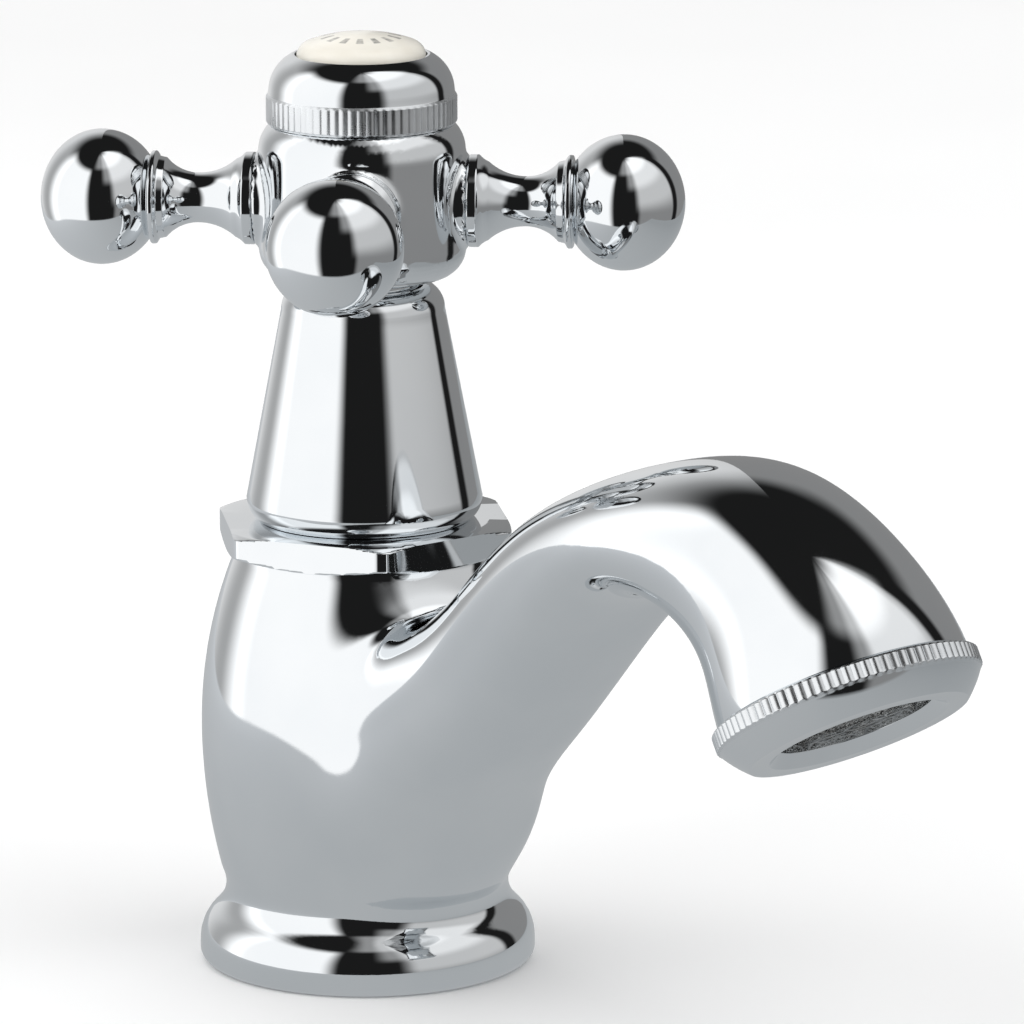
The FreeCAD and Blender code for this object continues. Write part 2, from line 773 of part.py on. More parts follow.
def build_spindle_extension():
    """Adaptor that carries the spindle's drive up through the shroud to the handle."""
    body = piece(new_body("spindle_extension", "collar_top"))
    bore = "spindle_radius + seat_clearance"
    outside = f"{bore} + extension_socket_wall"
    screw_low = "extension_height - extension_screw_depth"
    turned(body, "turning", [
        (bore, "extension_foot"),
        (outside, "extension_foot"),
        (outside, "extension_shoulder"),
        ("spindle_radius", "extension_shoulder"),
        ("spindle_radius", "extension_height"),
        ("extension_screw_hole", "extension_height"),
        ("extension_screw_hole", screw_low),
        ("0", screw_low),
        ("0", "extension_socket_top"),
        (bore, "extension_socket_top"),
    ])


# ---------------------------------------------------------------- shroud
SHROUD_TAPER = (
    "((shroud_bulge_radius - shroud_shoulder_radius)"
    " / (shroud_shoulder_height - shroud_bulge_height))"
)


def shroud_inside(height):
    """Return the shroud's inner radius at a height."""
    return f"shroud_bulge_radius - ({height} - shroud_bulge_height) * {SHROUD_TAPER} - shroud_wall"


def build_shroud():
    """Tapered bell that screws onto the headwork's neck and covers it."""
    body = piece(new_body("shroud", "collar_top"))
    web_low = f"({WRENCH_TOP} + shroud_rest)"
    web_high = f"({web_low} + shroud_web_height)"
    lid_low = "(shroud_height - shroud_lid)"
    opening = "hub_neck_radius + turning_gap"
    web_bore = "headwork_neck_radius + thread_clearance"
    foot = quarter_curve("shroud_bulge_height", "shroud_bulge_radius - shroud_foot_radius")
    rim = quarter_curve("shroud_height - shroud_shoulder_height", "shroud_shoulder_radius - shroud_rim_radius")
    turned(body, "turning", [
        ("shroud_bore_radius", "0"),
        ("shroud_foot_radius", "0", foot, "right"),
        ("shroud_bulge_radius", "shroud_bulge_height"),
        ("shroud_shoulder_radius", "shroud_shoulder_height", rim, "right"),
        ("shroud_rim_radius", "shroud_height"),
        (opening, "shroud_height"),
        (opening, lid_low),
        (shroud_inside(lid_low), lid_low),
        (shroud_inside(web_high), web_high),
        (web_bore, web_high),
        (web_bore, web_low),
        ("shroud_bore_radius", web_low),
    ])


def build_shroud_seal():
    """Rubber ring in the headwork flange that steadies the shroud."""
    body = piece(new_body("shroud_seal", "collar_top"))
    turned(body, "ring", ring_section(
        "headwork_flange_radius - shroud_seal_groove + seat_clearance",
        "shroud_bore_radius - seat_clearance",
        f"{SHROUD_SEAL_LOW} + seat_clearance",
        f"{SHROUD_SEAL_LOW} + shroud_seal_height - seat_clearance",
    ))


# ---------------------------------------------------------------- handle
HUB_SOCKET = "(spindle_radius + seat_clearance + bush_wall + seat_clearance)"
BUSH_TOP = "(extension_height - seat_clearance)"
WEB_LOW = "(extension_height + seat_clearance)"
WEB_HIGH = f"({WEB_LOW} + hub_web)"
WASHER_TOP = f"({WEB_HIGH} + seat_clearance + washer_thickness)"
CAP_SEAT = "(hub_height - cap_thread_depth)"


def build_hub():
    """Round hub of the cross handle with four arm bosses and tapped sockets."""
    body = piece(new_body("handle_hub", "collar_top", turn="handle_angle"))
    foot = quarter_curve("hub_side_low - hub_foot", "hub_radius - hub_foot_radius")
    shoulder = quarter_curve("hub_height - hub_side_high", "hub_radius - hub_rim_radius")
    turned(body, "turning", [
        (HUB_SOCKET, "hub_neck_foot"),
        ("hub_neck_radius", "hub_neck_foot"),
        ("hub_neck_radius", "hub_foot"),
        ("hub_foot_radius", "hub_foot", foot, "right"),
        ("hub_radius", "hub_side_low"),
        ("hub_radius", "hub_side_high", shoulder, "right"),
        ("hub_rim_radius", "hub_height"),
        ("cap_thread_radius", "hub_height"),
        ("cap_thread_radius", CAP_SEAT),
        ("hub_pit_radius", CAP_SEAT),
        ("hub_pit_radius", WEB_HIGH),
        ("hub_screw_hole", WEB_HIGH),
        ("hub_screw_hole", WEB_LOW),
        (HUB_SOCKET, WEB_LOW),
    ])
    boss_start = "(cap_thread_radius + seat_clearance)"
    for name, plane, side in (("right", "YZ_Plane", False), ("back", "XZ_Plane", True)):
        boss = new_sketch(body, f"boss_{name}", plane)
        circle(boss, "0", "arm_height", "arm_collar_radius")
        length = f"arm_start - {boss_start}"
        lift = f"-{boss_start}" if side else boss_start
        first = extruded(body, f"boss_pad_{name}", boss, length, lift=lift, back=side)
        patterned(body, f"bosses_{name}", first, 2)
    for name, plane, side in (("right", "YZ_Plane", True), ("back", "XZ_Plane", False)):
        hole = new_sketch(body, f"socket_{name}", plane)
        circle(hole, "0", "arm_height", "arm_stud_radius + thread_clearance")
        depth = "arm_stud_length + seat_clearance"
        lift = "arm_start" if side else "-arm_start"
        first = extruded(body, f"socket_cut_{name}", hole, depth, "Pocket", lift=lift, back=not side)
        patterned(body, f"sockets_{name}", first, 2)


def build_arm(name, quarter):
    """One arm: screwed stud, collar, waisted neck, bead and ball."""
    body = piece(new_body(name, "collar_top + arm_height", turn=f"handle_angle + {90 * quarter}"))
    stud_end = "arm_start - arm_stud_length"
    collar_end = "arm_start + arm_collar_length"
    ball_side = "sqrt(ball_round^2 - (ball_distance - arm_bead_end)^2)"
    waist_in = quarter_curve("arm_waist_distance - arm_neck_distance", "arm_neck_radius - arm_waist_radius")
    waist_out = quarter_curve("arm_throat_distance - arm_waist_distance", "arm_throat_radius - arm_waist_radius")
    turned(body, "turning", [
        (stud_end, "0"),
        ("ball_distance + ball_round", "0"),
        ("ball_distance + ball_round", "ball_flat", "ball_round", "right"),
        ("ball_distance", "ball_flat + ball_round", "ball_round", "right"),
        ("arm_bead_end", f"ball_flat + {ball_side}"),
        ("arm_bead_end", "arm_bead_radius"),
        ("arm_bead_start", "arm_bead_radius"),
        ("arm_throat_distance", "arm_throat_radius", waist_out, "left"),
        ("arm_waist_distance", "arm_waist_radius", waist_in, "left"),
        ("arm_neck_distance", "arm_neck_radius"),
        (collar_end, "arm_collar_radius"),
        ("arm_start", "arm_collar_radius"),
        ("arm_start", "arm_stud_radius"),
        (stud_end, "arm_stud_radius"),
    ], axis="H_Axis")


def build_spline_bush():
    """Splined bush between the spindle extension and the hub."""
    body = piece(new_body("spline_bush", "collar_top"))
    inner = "spindle_radius + seat_clearance"
    turned(body, "ring", ring_section(inner, f"{inner} + bush_wall", "hub_neck_foot", BUSH_TOP))


def build_handle_screw():
    """Screw that draws the hub down onto the spindle extension."""
    body = piece(new_body("handle_screw", "collar_top"))
    seat = f"{WASHER_TOP} + seat_clearance"
    head_top = f"({seat} + screw_head_height)"
    turned(body, "turning", [
        ("0", f"{seat} - screw_length"),
        ("screw_radius", f"{seat} - screw_length"),
        ("screw_radius", seat),
        ("screw_head_radius", seat),
        ("screw_head_radius", head_top),
        ("0", head_top),
    ])
    sketch = new_sketch(body, "key_outline", "XY_Plane")
    hexagon(sketch, "screw_socket_radius")
    extruded(body, "key_socket", sketch, "screw_socket_depth", "Pocket", lift=head_top)


def build_screw_washer():
    """Flat washer under the handle screw."""
    body = piece(new_body("screw_washer", "collar_top"))
    low = f"{WEB_HIGH} + seat_clearance"
    inner = "screw_radius + washer_clearance"
    turned(body, "ring", ring_section(inner, "washer_radius", low, WASHER_TOP))


# ---------------------------------------------------------------- cap ring and index disc
CAP_LOW = "(hub_height + seat_clearance)"
CAP_TOP = "(hub_height + cap_height)"
INDEX_LOW = f"({CAP_TOP} - index_depth)"


def build_cap_ring():
    """Knurled cap ring that screws into the hub and holds the index disc."""
    body = piece(new_body("cap_ring", "collar_top"))
    knurl_top = f"({CAP_LOW} + cap_knurl_height)"
    dome = quarter_curve(f"{CAP_TOP} - {knurl_top} - cap_knurl_chamfer", "cap_dome_radius - cap_rim_radius")
    skirt = "cap_thread_radius - thread_clearance"
    turned(body, "turning", [
        (f"{skirt} - cap_skirt_wall", f"{CAP_SEAT} + cap_rest"),
        (skirt, f"{CAP_SEAT} + cap_rest"),
        (skirt, CAP_LOW),
        ("cap_knurl_radius - cap_knurl_chamfer", CAP_LOW),
        ("cap_knurl_radius", f"{CAP_LOW} + cap_knurl_chamfer"),
        ("cap_knurl_radius", knurl_top),
        ("cap_dome_radius", f"{knurl_top} + cap_knurl_chamfer", dome, "right"),
        ("cap_rim_radius", CAP_TOP),
        ("index_radius + 2 * seat_clearance", CAP_TOP),
        ("index_radius + 2 * seat_clearance", f"{INDEX_LOW} - seat_clearance"),
        (f"{skirt} - cap_skirt_wall", f"{INDEX_LOW} - seat_clearance"),
    ])


def build_index_disc():
    """Domed ceramic disc in the middle of the cap ring."""
    body = piece(new_body("index_disc", "collar_top"))
    seal_low = f"{INDEX_LOW} + index_seal_lift"
    groove = "index_radius - index_seal_depth"
    shoulder = quarter_curve("index_shoulder_rise", "index_shoulder_run")
    brow = "(index_radius - index_shoulder_run)"
    brow_high = f"{INDEX_LOW} + index_side + index_shoulder_rise"
    crown = f"({brow}^2 + index_crown^2) / (2 * index_crown)"
    turned(body, "turning", [
        ("0", INDEX_LOW),
        ("index_radius", INDEX_LOW),
        ("index_radius", seal_low),
        (groove, seal_low),
        (groove, f"{seal_low} + index_seal_height"),
        ("index_radius", f"{seal_low} + index_seal_height"),
        ("index_radius", f"{INDEX_LOW} + index_side", shoulder, "right"),
        (brow, brow_high, crown, "right"),
        ("0", f"{brow_high} + index_crown"),
    ])


def build_index_seal():
    """Rubber ring that holds the index disc in the cap ring."""
    body = piece(new_body("index_seal", "collar_top"))
    low = f"{INDEX_LOW} + index_seal_lift + seat_clearance"
    turned(body, "ring", ring_section(
        "index_radius - index_seal_depth + seat_clearance",
        "index_radius + seat_clearance",
        low,
        f"{low} + index_seal_height - 2 * seat_clearance",
    ))


# ---------------------------------------------------------------- aerator
# Heights in this group are measured from the spout's mouth, positive into the spout.
SLEEVE = "(socket_radius - thread_clearance)"
INSERT_RADIUS = f"({SLEEVE} - ring_sleeve_wall - seat_clearance)"
SCREEN_TOP = "(screen_thickness - ring_shelf)"
INSERT_TOP = f"({SCREEN_TOP} + insert_height)"


def outlet_body(label):
    """Start a piece that lies on the outlet's axis."""
    return piece(new_body(label, "outlet_height", "outlet_reach", "outlet_tilt", (-1, 0, 0)))


def build_aerator_ring():
    """Knurled ring that screws into the spout's mouth."""
    body = outlet_body("aerator_ring")
    nose_low = "(-ring_band - ring_nose)"
    inside = f"{SLEEVE} - ring_sleeve_wall"
    turned(body, "turning", [
        (inside, "ring_sleeve_height"),
        (inside, "-ring_shelf"),
        ("ring_throat_radius", "-ring_shelf"),
        ("ring_throat_radius", f"{nose_low} + ring_mouth_depth"),
        ("ring_mouth_radius", nose_low),
        ("ring_nose_radius", nose_low, "ring_nose_curve", "right"),
        ("ring_radius - ring_chamfer", "-ring_band"),
        ("ring_radius", "-ring_band + ring_chamfer"),
        ("ring_radius", "-ring_chamfer"),
        ("ring_radius - ring_chamfer", "0"),
        (SLEEVE, "0"),
        (SLEEVE, "ring_sleeve_height"),
    ])


def drill_rings(body, low, thickness, circles):
    """Drill rings of small holes right through a disc."""
    for index, (radius, count) in enumerate(circles):
        sketch = new_sketch(body, f"hole_{index}", "XY_Plane")
        circle(sketch, radius, "0", "flow_hole_radius")
        depth = f"2 * {thickness}"
        hole = extruded(body, f"drill_{index}", sketch, depth, "Pocket", lift=low, back=True)
        patterned(body, f"holes_{index}", hole, count)


def build_aerator_screen():
    """Stainless screen at the mouth."""
    body = outlet_body("aerator_screen")
    turned(body, "disc", ring_section("0", INSERT_RADIUS, "-ring_shelf", SCREEN_TOP))
    circles = [(f"{ring} * screen_hole_step", 6 * ring) for ring in (1, 2, 3)]
    drill_rings(body, "-ring_shelf", "screen_thickness", circles)


def build_aerator_insert():
    """Plastic shell that carries the screen and the flow disc."""
    body = outlet_body("aerator_insert")
    inner = f"{INSERT_RADIUS} - insert_wall"
    turned(body, "shell", ring_section(inner, INSERT_RADIUS, SCREEN_TOP, INSERT_TOP))


def build_flow_disc():
    """Perforated plastic disc that splits the stream."""
    body = outlet_body("flow_disc")
    top = f"{INSERT_TOP} + flow_disc_thickness"
    turned(body, "disc", ring_section("0", INSERT_RADIUS, INSERT_TOP, top))
    drill_rings(body, INSERT_TOP, "flow_disc_thickness", [("flow_hole_circle", 12)])


def build_outlet_washer():
    """Rubber washer between the aerator ring and the floor of the socket."""
    body = outlet_body("outlet_washer")
    outside = f"{SLEEVE} - seat_clearance"
    turned(body, "ring", ring_section("outlet_washer_inner_radius", outside, "ring_sleeve_height", "socket_depth"))


# ---------------------------------------------------------------- the whole tap
build_tap_body()
build_base_seal()
build_headwork_body()
build_headwork_gasket()
build_disc_seal()
build_discs()
build_thrust_washer()
build_shroud()
build_shroud_seal()
build_aerator_ring()
build_aerator_screen()
build_aerator_insert()
build_flow_disc()
build_outlet_washer()
build_spindle()
build_spindle_seals()
build_spindle_clip()
build_spindle_extension()
build_hub()
for quarter, arm in enumerate(("arm_back_right", "arm_back_left", "arm_front_left", "arm_front_right")):
    build_arm(arm, quarter)
build_spline_bush()
build_handle_screw()
build_screw_washer()
build_cap_ring()
build_index_disc()
build_index_seal()
doc.recompute()

for item in doc.Objects:
    for state in ("Invalid", "Error"):
        if state in item.State:
            raise SystemExit(f"{item.Label}: {state}")
for item in pieces:
    if item.Shape.isNull() or not item.Shape.isValid():
        raise SystemExit(f"{item.Label}: no valid shape")
    if len(item.Shape.Solids) != 1:
        raise SystemExit(f"{item.Label}: {len(item.Shape.Solids)} solids")

os.makedirs("parts", exist_ok=True)
for item in pieces:
    item.Shape.exportStep(os.path.join("parts", f"{item.Label}.step"))
    print(f"{item.Label:20s} {item.Shape.Volume:10.1f} mm3")
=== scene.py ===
"""Looks of the basin pillar tap: chrome casting, cross handle, knurled rings and woven screen.

Shapes are worked out in millimetres in the part's own frame and turned to metres as a mesh is made.
"""

import json
import math

import bpy
import numpy as np
from mathutils import Matrix, Vector


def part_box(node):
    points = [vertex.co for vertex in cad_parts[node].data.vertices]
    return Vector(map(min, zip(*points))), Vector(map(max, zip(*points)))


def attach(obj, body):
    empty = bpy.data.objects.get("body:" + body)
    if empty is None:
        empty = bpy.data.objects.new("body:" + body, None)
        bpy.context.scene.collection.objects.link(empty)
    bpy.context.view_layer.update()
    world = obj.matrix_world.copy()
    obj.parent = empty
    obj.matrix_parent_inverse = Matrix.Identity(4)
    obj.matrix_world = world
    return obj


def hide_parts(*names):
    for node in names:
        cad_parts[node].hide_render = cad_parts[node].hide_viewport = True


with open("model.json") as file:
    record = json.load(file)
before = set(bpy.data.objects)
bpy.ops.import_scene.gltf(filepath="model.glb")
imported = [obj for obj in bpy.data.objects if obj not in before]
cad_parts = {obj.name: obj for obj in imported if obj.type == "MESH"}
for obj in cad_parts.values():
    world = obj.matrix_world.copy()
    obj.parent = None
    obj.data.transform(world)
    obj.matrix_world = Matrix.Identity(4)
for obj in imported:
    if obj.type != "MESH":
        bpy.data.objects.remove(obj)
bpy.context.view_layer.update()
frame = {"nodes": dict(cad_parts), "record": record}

MM = 0.001


# ---- datums from the frame
def node_box(node):
    """Return the lowest and highest corner of a CAD node in millimetres."""
    low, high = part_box(node)
    return np.array(low) / MM, np.array(high) / MM


def node_centre(node):
    """Return the middle of a CAD node's box in millimetres."""
    low, high = node_box(node)
    return (low + high) / 2


COLLAR_TOP = node_box("shroud")[0][2]
ARM_HEIGHT = node_centre("arm_front_left")[2]
FLANGE_RADIUS = node_box("tap_body")[1][0]
OUTLET_AXIS = node_centre("flow_disc") - node_centre("aerator_insert")
OUTLET_AXIS /= np.linalg.norm(OUTLET_AXIS)
INSERT_MIDDLE_DEPTH = 1.0
MOUTH = node_centre("aerator_insert") - INSERT_MIDDLE_DEPTH * OUTLET_AXIS
HANDLE_ANGLE = 47.5
COLLAR_HEIGHT = 4.5


# ---- mesh tools
SHARP_ANGLE = 40.0
ON_AXIS = 1e-6


def make_object(name, points, faces, material):
    """Make a smooth-shaded object from points in millimetres."""
    mesh = bpy.data.meshes.new(name)
    mesh.from_pydata((np.asarray(points) * MM).tolist(), [], faces)
    mesh.shade_smooth()
    mesh.set_sharp_from_angle(angle=math.radians(SHARP_ANGLE))
    mesh.materials.append(material)
    made = bpy.data.objects.new(name, mesh)
    bpy.context.scene.collection.objects.link(made)
    return made


def merged(parts):
    """Join several (points, faces) pairs into one."""
    points, faces, start = [], [], 0
    for some_points, some_faces in parts:
        points.append(some_points)
        faces += [tuple(start + corner for corner in face) for face in some_faces]
        start += len(some_points)
    return np.concatenate(points), faces


def combine(target, tool, operation):
    """Apply a boolean with a second object, which is then deleted."""
    modifier = target.modifiers.new(operation, "BOOLEAN")
    modifier.operation = operation
    modifier.object = tool
    modifier.solver = "MANIFOLD"
    modifier.material_mode = "TRANSFER"
    bpy.context.view_layer.update()
    graph = bpy.context.evaluated_depsgraph_get()
    mesh = bpy.data.meshes.new_from_object(target.evaluated_get(graph))
    target.modifiers.clear()
    target.data = mesh
    bpy.data.objects.remove(tool)


def arc(start, end, radius, side, count=10):
    """Return points after start up to end on an arc that bulges to a side of the way."""
    start, end = np.array(start, float), np.array(end, float)
    chord = end - start
    half = np.linalg.norm(chord) / 2
    across = np.array([chord[1], -chord[0]]) / (2 * half)
    if side == "right":
        across = -across
    centre = (start + end) / 2 + across * math.sqrt(max(radius**2 - half**2, 0.0))
    first = math.atan2(*(start - centre)[::-1])
    sweep = (math.atan2(*(end - centre)[::-1]) - first + math.pi) % (2 * math.pi) - math.pi
    turns = first + sweep * np.arange(1, count + 1) / count
    return [tuple(centre + radius * np.array([math.cos(turn), math.sin(turn)])) for turn in turns]


def quarter(rise, run):
    """Return the radius of an arc that leaves upright and moves in by run over rise."""
    return (rise**2 + run**2) / (2 * run)


def bow(outline, end, side, count, radius=None):
    """Add an arc to an outline; an arc without a radius is upright at one end."""
    run, rise = np.abs(np.subtract(end, outline[-1]))
    outline += arc(outline[-1], end, radius or quarter(rise, run), side, count)


def soften(points, radius, least=22.0, most=150.0, share_of_gap=0.42, steps=5, support=0.12):
    """Replace each corner of a closed outline by a small curve with support points beside it."""
    points = np.array(points, float)
    ahead = np.roll(points, -1, axis=0)
    lengths = np.linalg.norm(ahead - points, axis=1)
    places = np.concatenate([[0], np.cumsum(lengths)])
    total = places[-1]
    closed = np.vstack([points, points[:1]])

    def at(place):
        return np.array([np.interp(place % total, places, closed[:, axis]) for axis in (0, 1)])

    ways = (ahead - points) / lengths[:, None]
    before = np.roll(ways, 1, axis=0)
    turns = np.degrees(np.arccos(np.clip((ways * before).sum(axis=1), -1, 1)))
    corners = [i for i in range(len(points)) if turns[i] > least and points[i, 0] > ON_AXIS]
    cuts = {}
    for order, i in enumerate(corners):
        gaps = [
            (places[corners[(order + 1) % len(corners)]] - places[i]) % total,
            (places[i] - places[corners[order - 1]]) % total,
        ]
        wanted = radius * math.tan(math.radians(min(turns[i], most)) / 2)
        cuts[i] = min([wanted] + [share_of_gap * gap for gap in gaps if gap > 0])
    kept = []
    for i, point in enumerate(points):
        if i in cuts:
            cut = cuts[i]
            first, last = at(places[i] - cut), at(places[i] + cut)
            kept.append((places[i] - cut - support, at(places[i] - cut - support)))
            for share in np.arange(steps + 1) / steps:
                curve = (1 - share) ** 2 * first + 2 * share * (1 - share) * point + share**2 * last
                kept.append((places[i] + (2 * share - 1) * cut, curve))
            kept.append((places[i] + cut + support, at(places[i] + cut + support)))
        else:
            gaps = [abs((places[i] - places[c] + total / 2) % total - total / 2) - cuts[c] for c in cuts]
            if not gaps or min(gaps) > support:
                kept.append((places[i], point))
    kept.sort(key=lambda entry: entry[0] % total if entry[0] >= 0 else entry[0])
    return [tuple(point) for _, point in kept]


def ring_points(radii, turns, height):
    """Return the points of a level ring about the Z axis."""
    return np.stack([radii * np.cos(turns), radii * np.sin(turns), np.full(len(turns), height)], axis=1)


def full_turn(count):
    """Return evenly spaced angles round a whole turn."""
    return 2 * math.pi * np.arange(count) / count


def number_rows(count, columns):
    """Return the point numbers of rows that follow each other."""
    return np.arange(count * columns).reshape(count, columns).tolist()


def joined_rows(rows, closed):
    """Return the faces between each row of point numbers and the next, and from last to first if closed."""
    faces = []
    for low, high in zip(rows, rows[1:] + rows[:1] if closed else rows[1:]):
        for column in range(len(low)):
            after = (column + 1) % len(low)
            face = []
            for corner in (low[column], low[after], high[after], high[column]):
                if corner not in face:
                    face.append(corner)
            if len(face) > 2:
                faces.append(tuple(face))
    return faces


def lathe(points, columns=160, ripple=None):
    """Turn a closed outline (radius, height) about the Z axis; ripple moves points in or out."""
    turns = full_turn(columns)
    rows, vertices, total = [], [], 0
    for radius, height in points:
        if radius < ON_AXIS:
            rows.append([total] * columns)
            vertices.append(np.array([[0, 0, height]]))
            total += 1
            continue
        radii = radius + (ripple(turns, radius, height) if ripple else 0)
        rows.append(list(range(total, total + columns)))
        vertices.append(ring_points(radii, turns, height))
        total += columns
    return np.concatenate(vertices), joined_rows(rows, closed=True)


def placed(part, matrix):
    """Move (points, faces) by a matrix in millimetres."""
    points, faces = part
    turn = np.array(matrix)
    return points @ turn[:3, :3].T + turn[:3, 3], faces


def outlet_matrix():
    """Return the frame of the outlet: its Z axis runs into the spout from the mouth."""
    turn = Vector((0, 0, 1)).rotation_difference(Vector(OUTLET_AXIS)).to_matrix().to_4x4()
    return Matrix.Translation(Vector(MOUTH)) @ turn


def arm_matrix(quarter_turns):
    """Return the frame of an arm: its Z axis runs out along the arm from the handle's axis."""
    turn = math.radians(HANDLE_ANGLE + 90 * quarter_turns)
    across = Matrix.Rotation(turn, 4, "Z") @ Matrix.Rotation(math.pi / 2, 4, "Y")
    return Matrix.Translation((0, 0, ARM_HEIGHT)) @ across


# ---- shapes given by a field
def spline(knots, values):
    """Return a function that gives a natural cubic spline and its first two slopes."""
    knots, values = np.array(knots, float), np.array(values, float)
    gaps = np.diff(knots)
    count = len(knots)
    matrix = np.eye(count)
    right = np.zeros(count)
    for i in range(1, count - 1):
        matrix[i, i - 1 : i + 2] = gaps[i - 1], 2 * (gaps[i - 1] + gaps[i]), gaps[i]
        right[i] = 6 * ((values[i + 1] - values[i]) / gaps[i] - (values[i] - values[i - 1]) / gaps[i - 1])
    bends = np.linalg.solve(matrix, right)

    def evaluate(places):
        index = np.clip(np.searchsorted(knots, places) - 1, 0, count - 2)
        gap, along = gaps[index], places - knots[index]
        bend, after = bends[index], bends[index + 1]
        slope = (values[index + 1] - values[index]) / gap - gap * (2 * bend + after) / 6
        third = (after - bend) / gap
        value = values[index] + along * (slope + along * (bend / 2 + along * third / 6))
        return value, slope + along * (bend + along * third / 2), bend + along * third

    return evaluate


def smooth_join(first, second, blend):
    """Join two distance fields with a fillet about as wide as blend."""
    share = np.maximum(blend - np.abs(first - second), 0) / blend
    return np.minimum(first, second) - share**3 * blend / 6


def smooth_step(low, high, value):
    """Return a soft step from 0 at low to 1 at high."""
    share = np.clip((value - low) / (high - low), 0, 1)
    return share * share * (3 - 2 * share)


def surface_net(field, low, high, step, settling=4):
    """Mesh the zero surface of field(x, y, z) inside a box, then settle the points on it."""
    axes = [np.arange(start, end + step, step) for start, end in zip(low, high)]
    x, y, z = np.ix_(*axes)
    values = field(x, y, z)
    inside = values < 0
    sums = np.zeros(tuple(len(axis) - 1 for axis in axes) + (3,))
    counts = np.zeros(sums.shape[:3], int)
    crossings = []
    for axis in range(3):
        lower = tuple(slice(None, -1) if a == axis else slice(None) for a in range(3))
        upper = tuple(slice(1, None) if a == axis else slice(None) for a in range(3))
        where = np.argwhere(inside[lower] != inside[upper])
        first, second = values[lower][tuple(where.T)], values[upper][tuple(where.T)]
        place = where.astype(float)
        place[:, axis] += first / (first - second)
        crossings.append((axis, where, inside[lower][tuple(where.T)]))
        others = [a for a in range(3) if a != axis]
        for shift_a in (0, 1):
            for shift_b in (0, 1):
                cell = where.copy()
                cell[:, others[0]] -= shift_a
                cell[:, others[1]] -= shift_b
                good = np.all((cell >= 0) & (cell < np.array(counts.shape)), axis=1)
                np.add.at(sums, tuple(cell[good].T), place[good])
                np.add.at(counts, tuple(cell[good].T), 1)
    used = counts > 0
    numbers = np.full(counts.shape, -1)
    numbers[used] = np.arange(used.sum())
    points = sums[used] / counts[used][:, None] * step + np.array(low)
    faces = []
    for axis, where, starts_inside in crossings:
        b, c = (axis + 1) % 3, (axis + 2) % 3
        corners = []
        for shift_b, shift_c in ((1, 1), (0, 1), (0, 0), (1, 0)):
            cell = where.copy()
            cell[:, b] -= shift_b
            cell[:, c] -= shift_c
            corners.append(numbers[tuple(cell.T)])
        quads = np.stack(corners, axis=1)
        quads[~starts_inside] = quads[~starts_inside][:, ::-1]
        faces += [tuple(quad) for quad in quads.tolist()]
    for _ in range(settling):
        points = points - gradient_step(field, points)
    return points, faces


def gradient(field, points, reach=0.04):
    """Return the slope of a field at points."""
    slopes = []
    for axis in range(3):
        shift = np.zeros(3)
        shift[axis] = reach
        ahead, behind = (points + shift).T, (points - shift).T
        slopes.append((field(*ahead) - field(*behind)) / (2 * reach))
    return np.stack(slopes, axis=1)


def gradient_step(field, points, largest=0.4, least_slope=0.05, tiny=1e-9):
    """Return the step that takes points off the zero surface, kept short."""
    slope = gradient(field, points)
    step = field(*points.T)[:, None] * slope / (slope * slope).sum(axis=1)[:, None].clip(least_slope)
    length = np.linalg.norm(step, axis=1)[:, None]
    return step * np.minimum(1, largest / length.clip(tiny))


def read_items(items, name, width=3, kind=float):
    """Return a property of a mesh's items as an array, with a row for each item if it has parts."""
    values = np.empty(len(items) * width, kind)
    items.foreach_get(name, values)
    return values.reshape(-1, width) if width > 1 else values


def set_field_normals(made, field, near=0.02, facing=0.9, crease=35.0, tiny=1e-9):
    """Shade the faces that lie on a field's surface by the field's own slope."""
    mesh = made.data
    mesh.set_sharp_from_angle(angle=math.radians(crease))
    points = read_items(mesh.vertices, "co") / MM
    slopes = gradient(field, points)
    slopes /= np.linalg.norm(slopes, axis=1)[:, None].clip(tiny)
    on_surface = np.abs(field(*points.T)) < near
    normals = read_items(mesh.corner_normals, "vector")
    sizes = read_items(mesh.polygons, "loop_total", 1, int)
    of_corners = np.repeat(read_items(mesh.polygons, "normal"), sizes, axis=0)
    corners = read_items(mesh.loops, "vertex_index", 1, int)
    good = on_surface[corners] & ((slopes[corners] * of_corners).sum(axis=1) > facing)
    normals[good] = slopes[corners][good]
    mesh.normals_split_custom_set(normals.tolist())


# ---- node materials
def new_material(name):
    """Start a node material and return it with its tree and its shader."""
    material = bpy.data.materials.new(name)
    material.use_nodes = True
    tree = material.node_tree
    return material, tree, tree.nodes["Principled BSDF"]


def noise(tree, scale, detail=3.0, stretch=(1, 1, 1)):
    """Return the factor of a noise in the piece's own coordinates, scale per metre."""
    place = tree.nodes.new("ShaderNodeTexCoord")
    mapping = tree.nodes.new("ShaderNodeMapping")
    mapping.inputs["Scale"].default_value = stretch
    texture = tree.nodes.new("ShaderNodeTexNoise")
    texture.inputs["Scale"].default_value = scale
    texture.inputs["Detail"].default_value = detail
    tree.links.new(place.outputs["Object"], mapping.inputs["Vector"])
    tree.links.new(mapping.outputs["Vector"], texture.inputs["Vector"])
    return texture.outputs["Fac"]


def ranged(tree, value, low, high, least=0.3, most=0.7, kind="LINEAR"):
    """Return a value that goes from low to high as another goes from least to most."""
    node = tree.nodes.new("ShaderNodeMapRange")
    node.interpolation_type = kind
    tree.links.new(value, node.inputs["Value"])
    for socket, number in (("From Min", least), ("From Max", most), ("To Min", low), ("To Max", high)):
        node.inputs[socket].default_value = number
    return node.outputs["Result"]


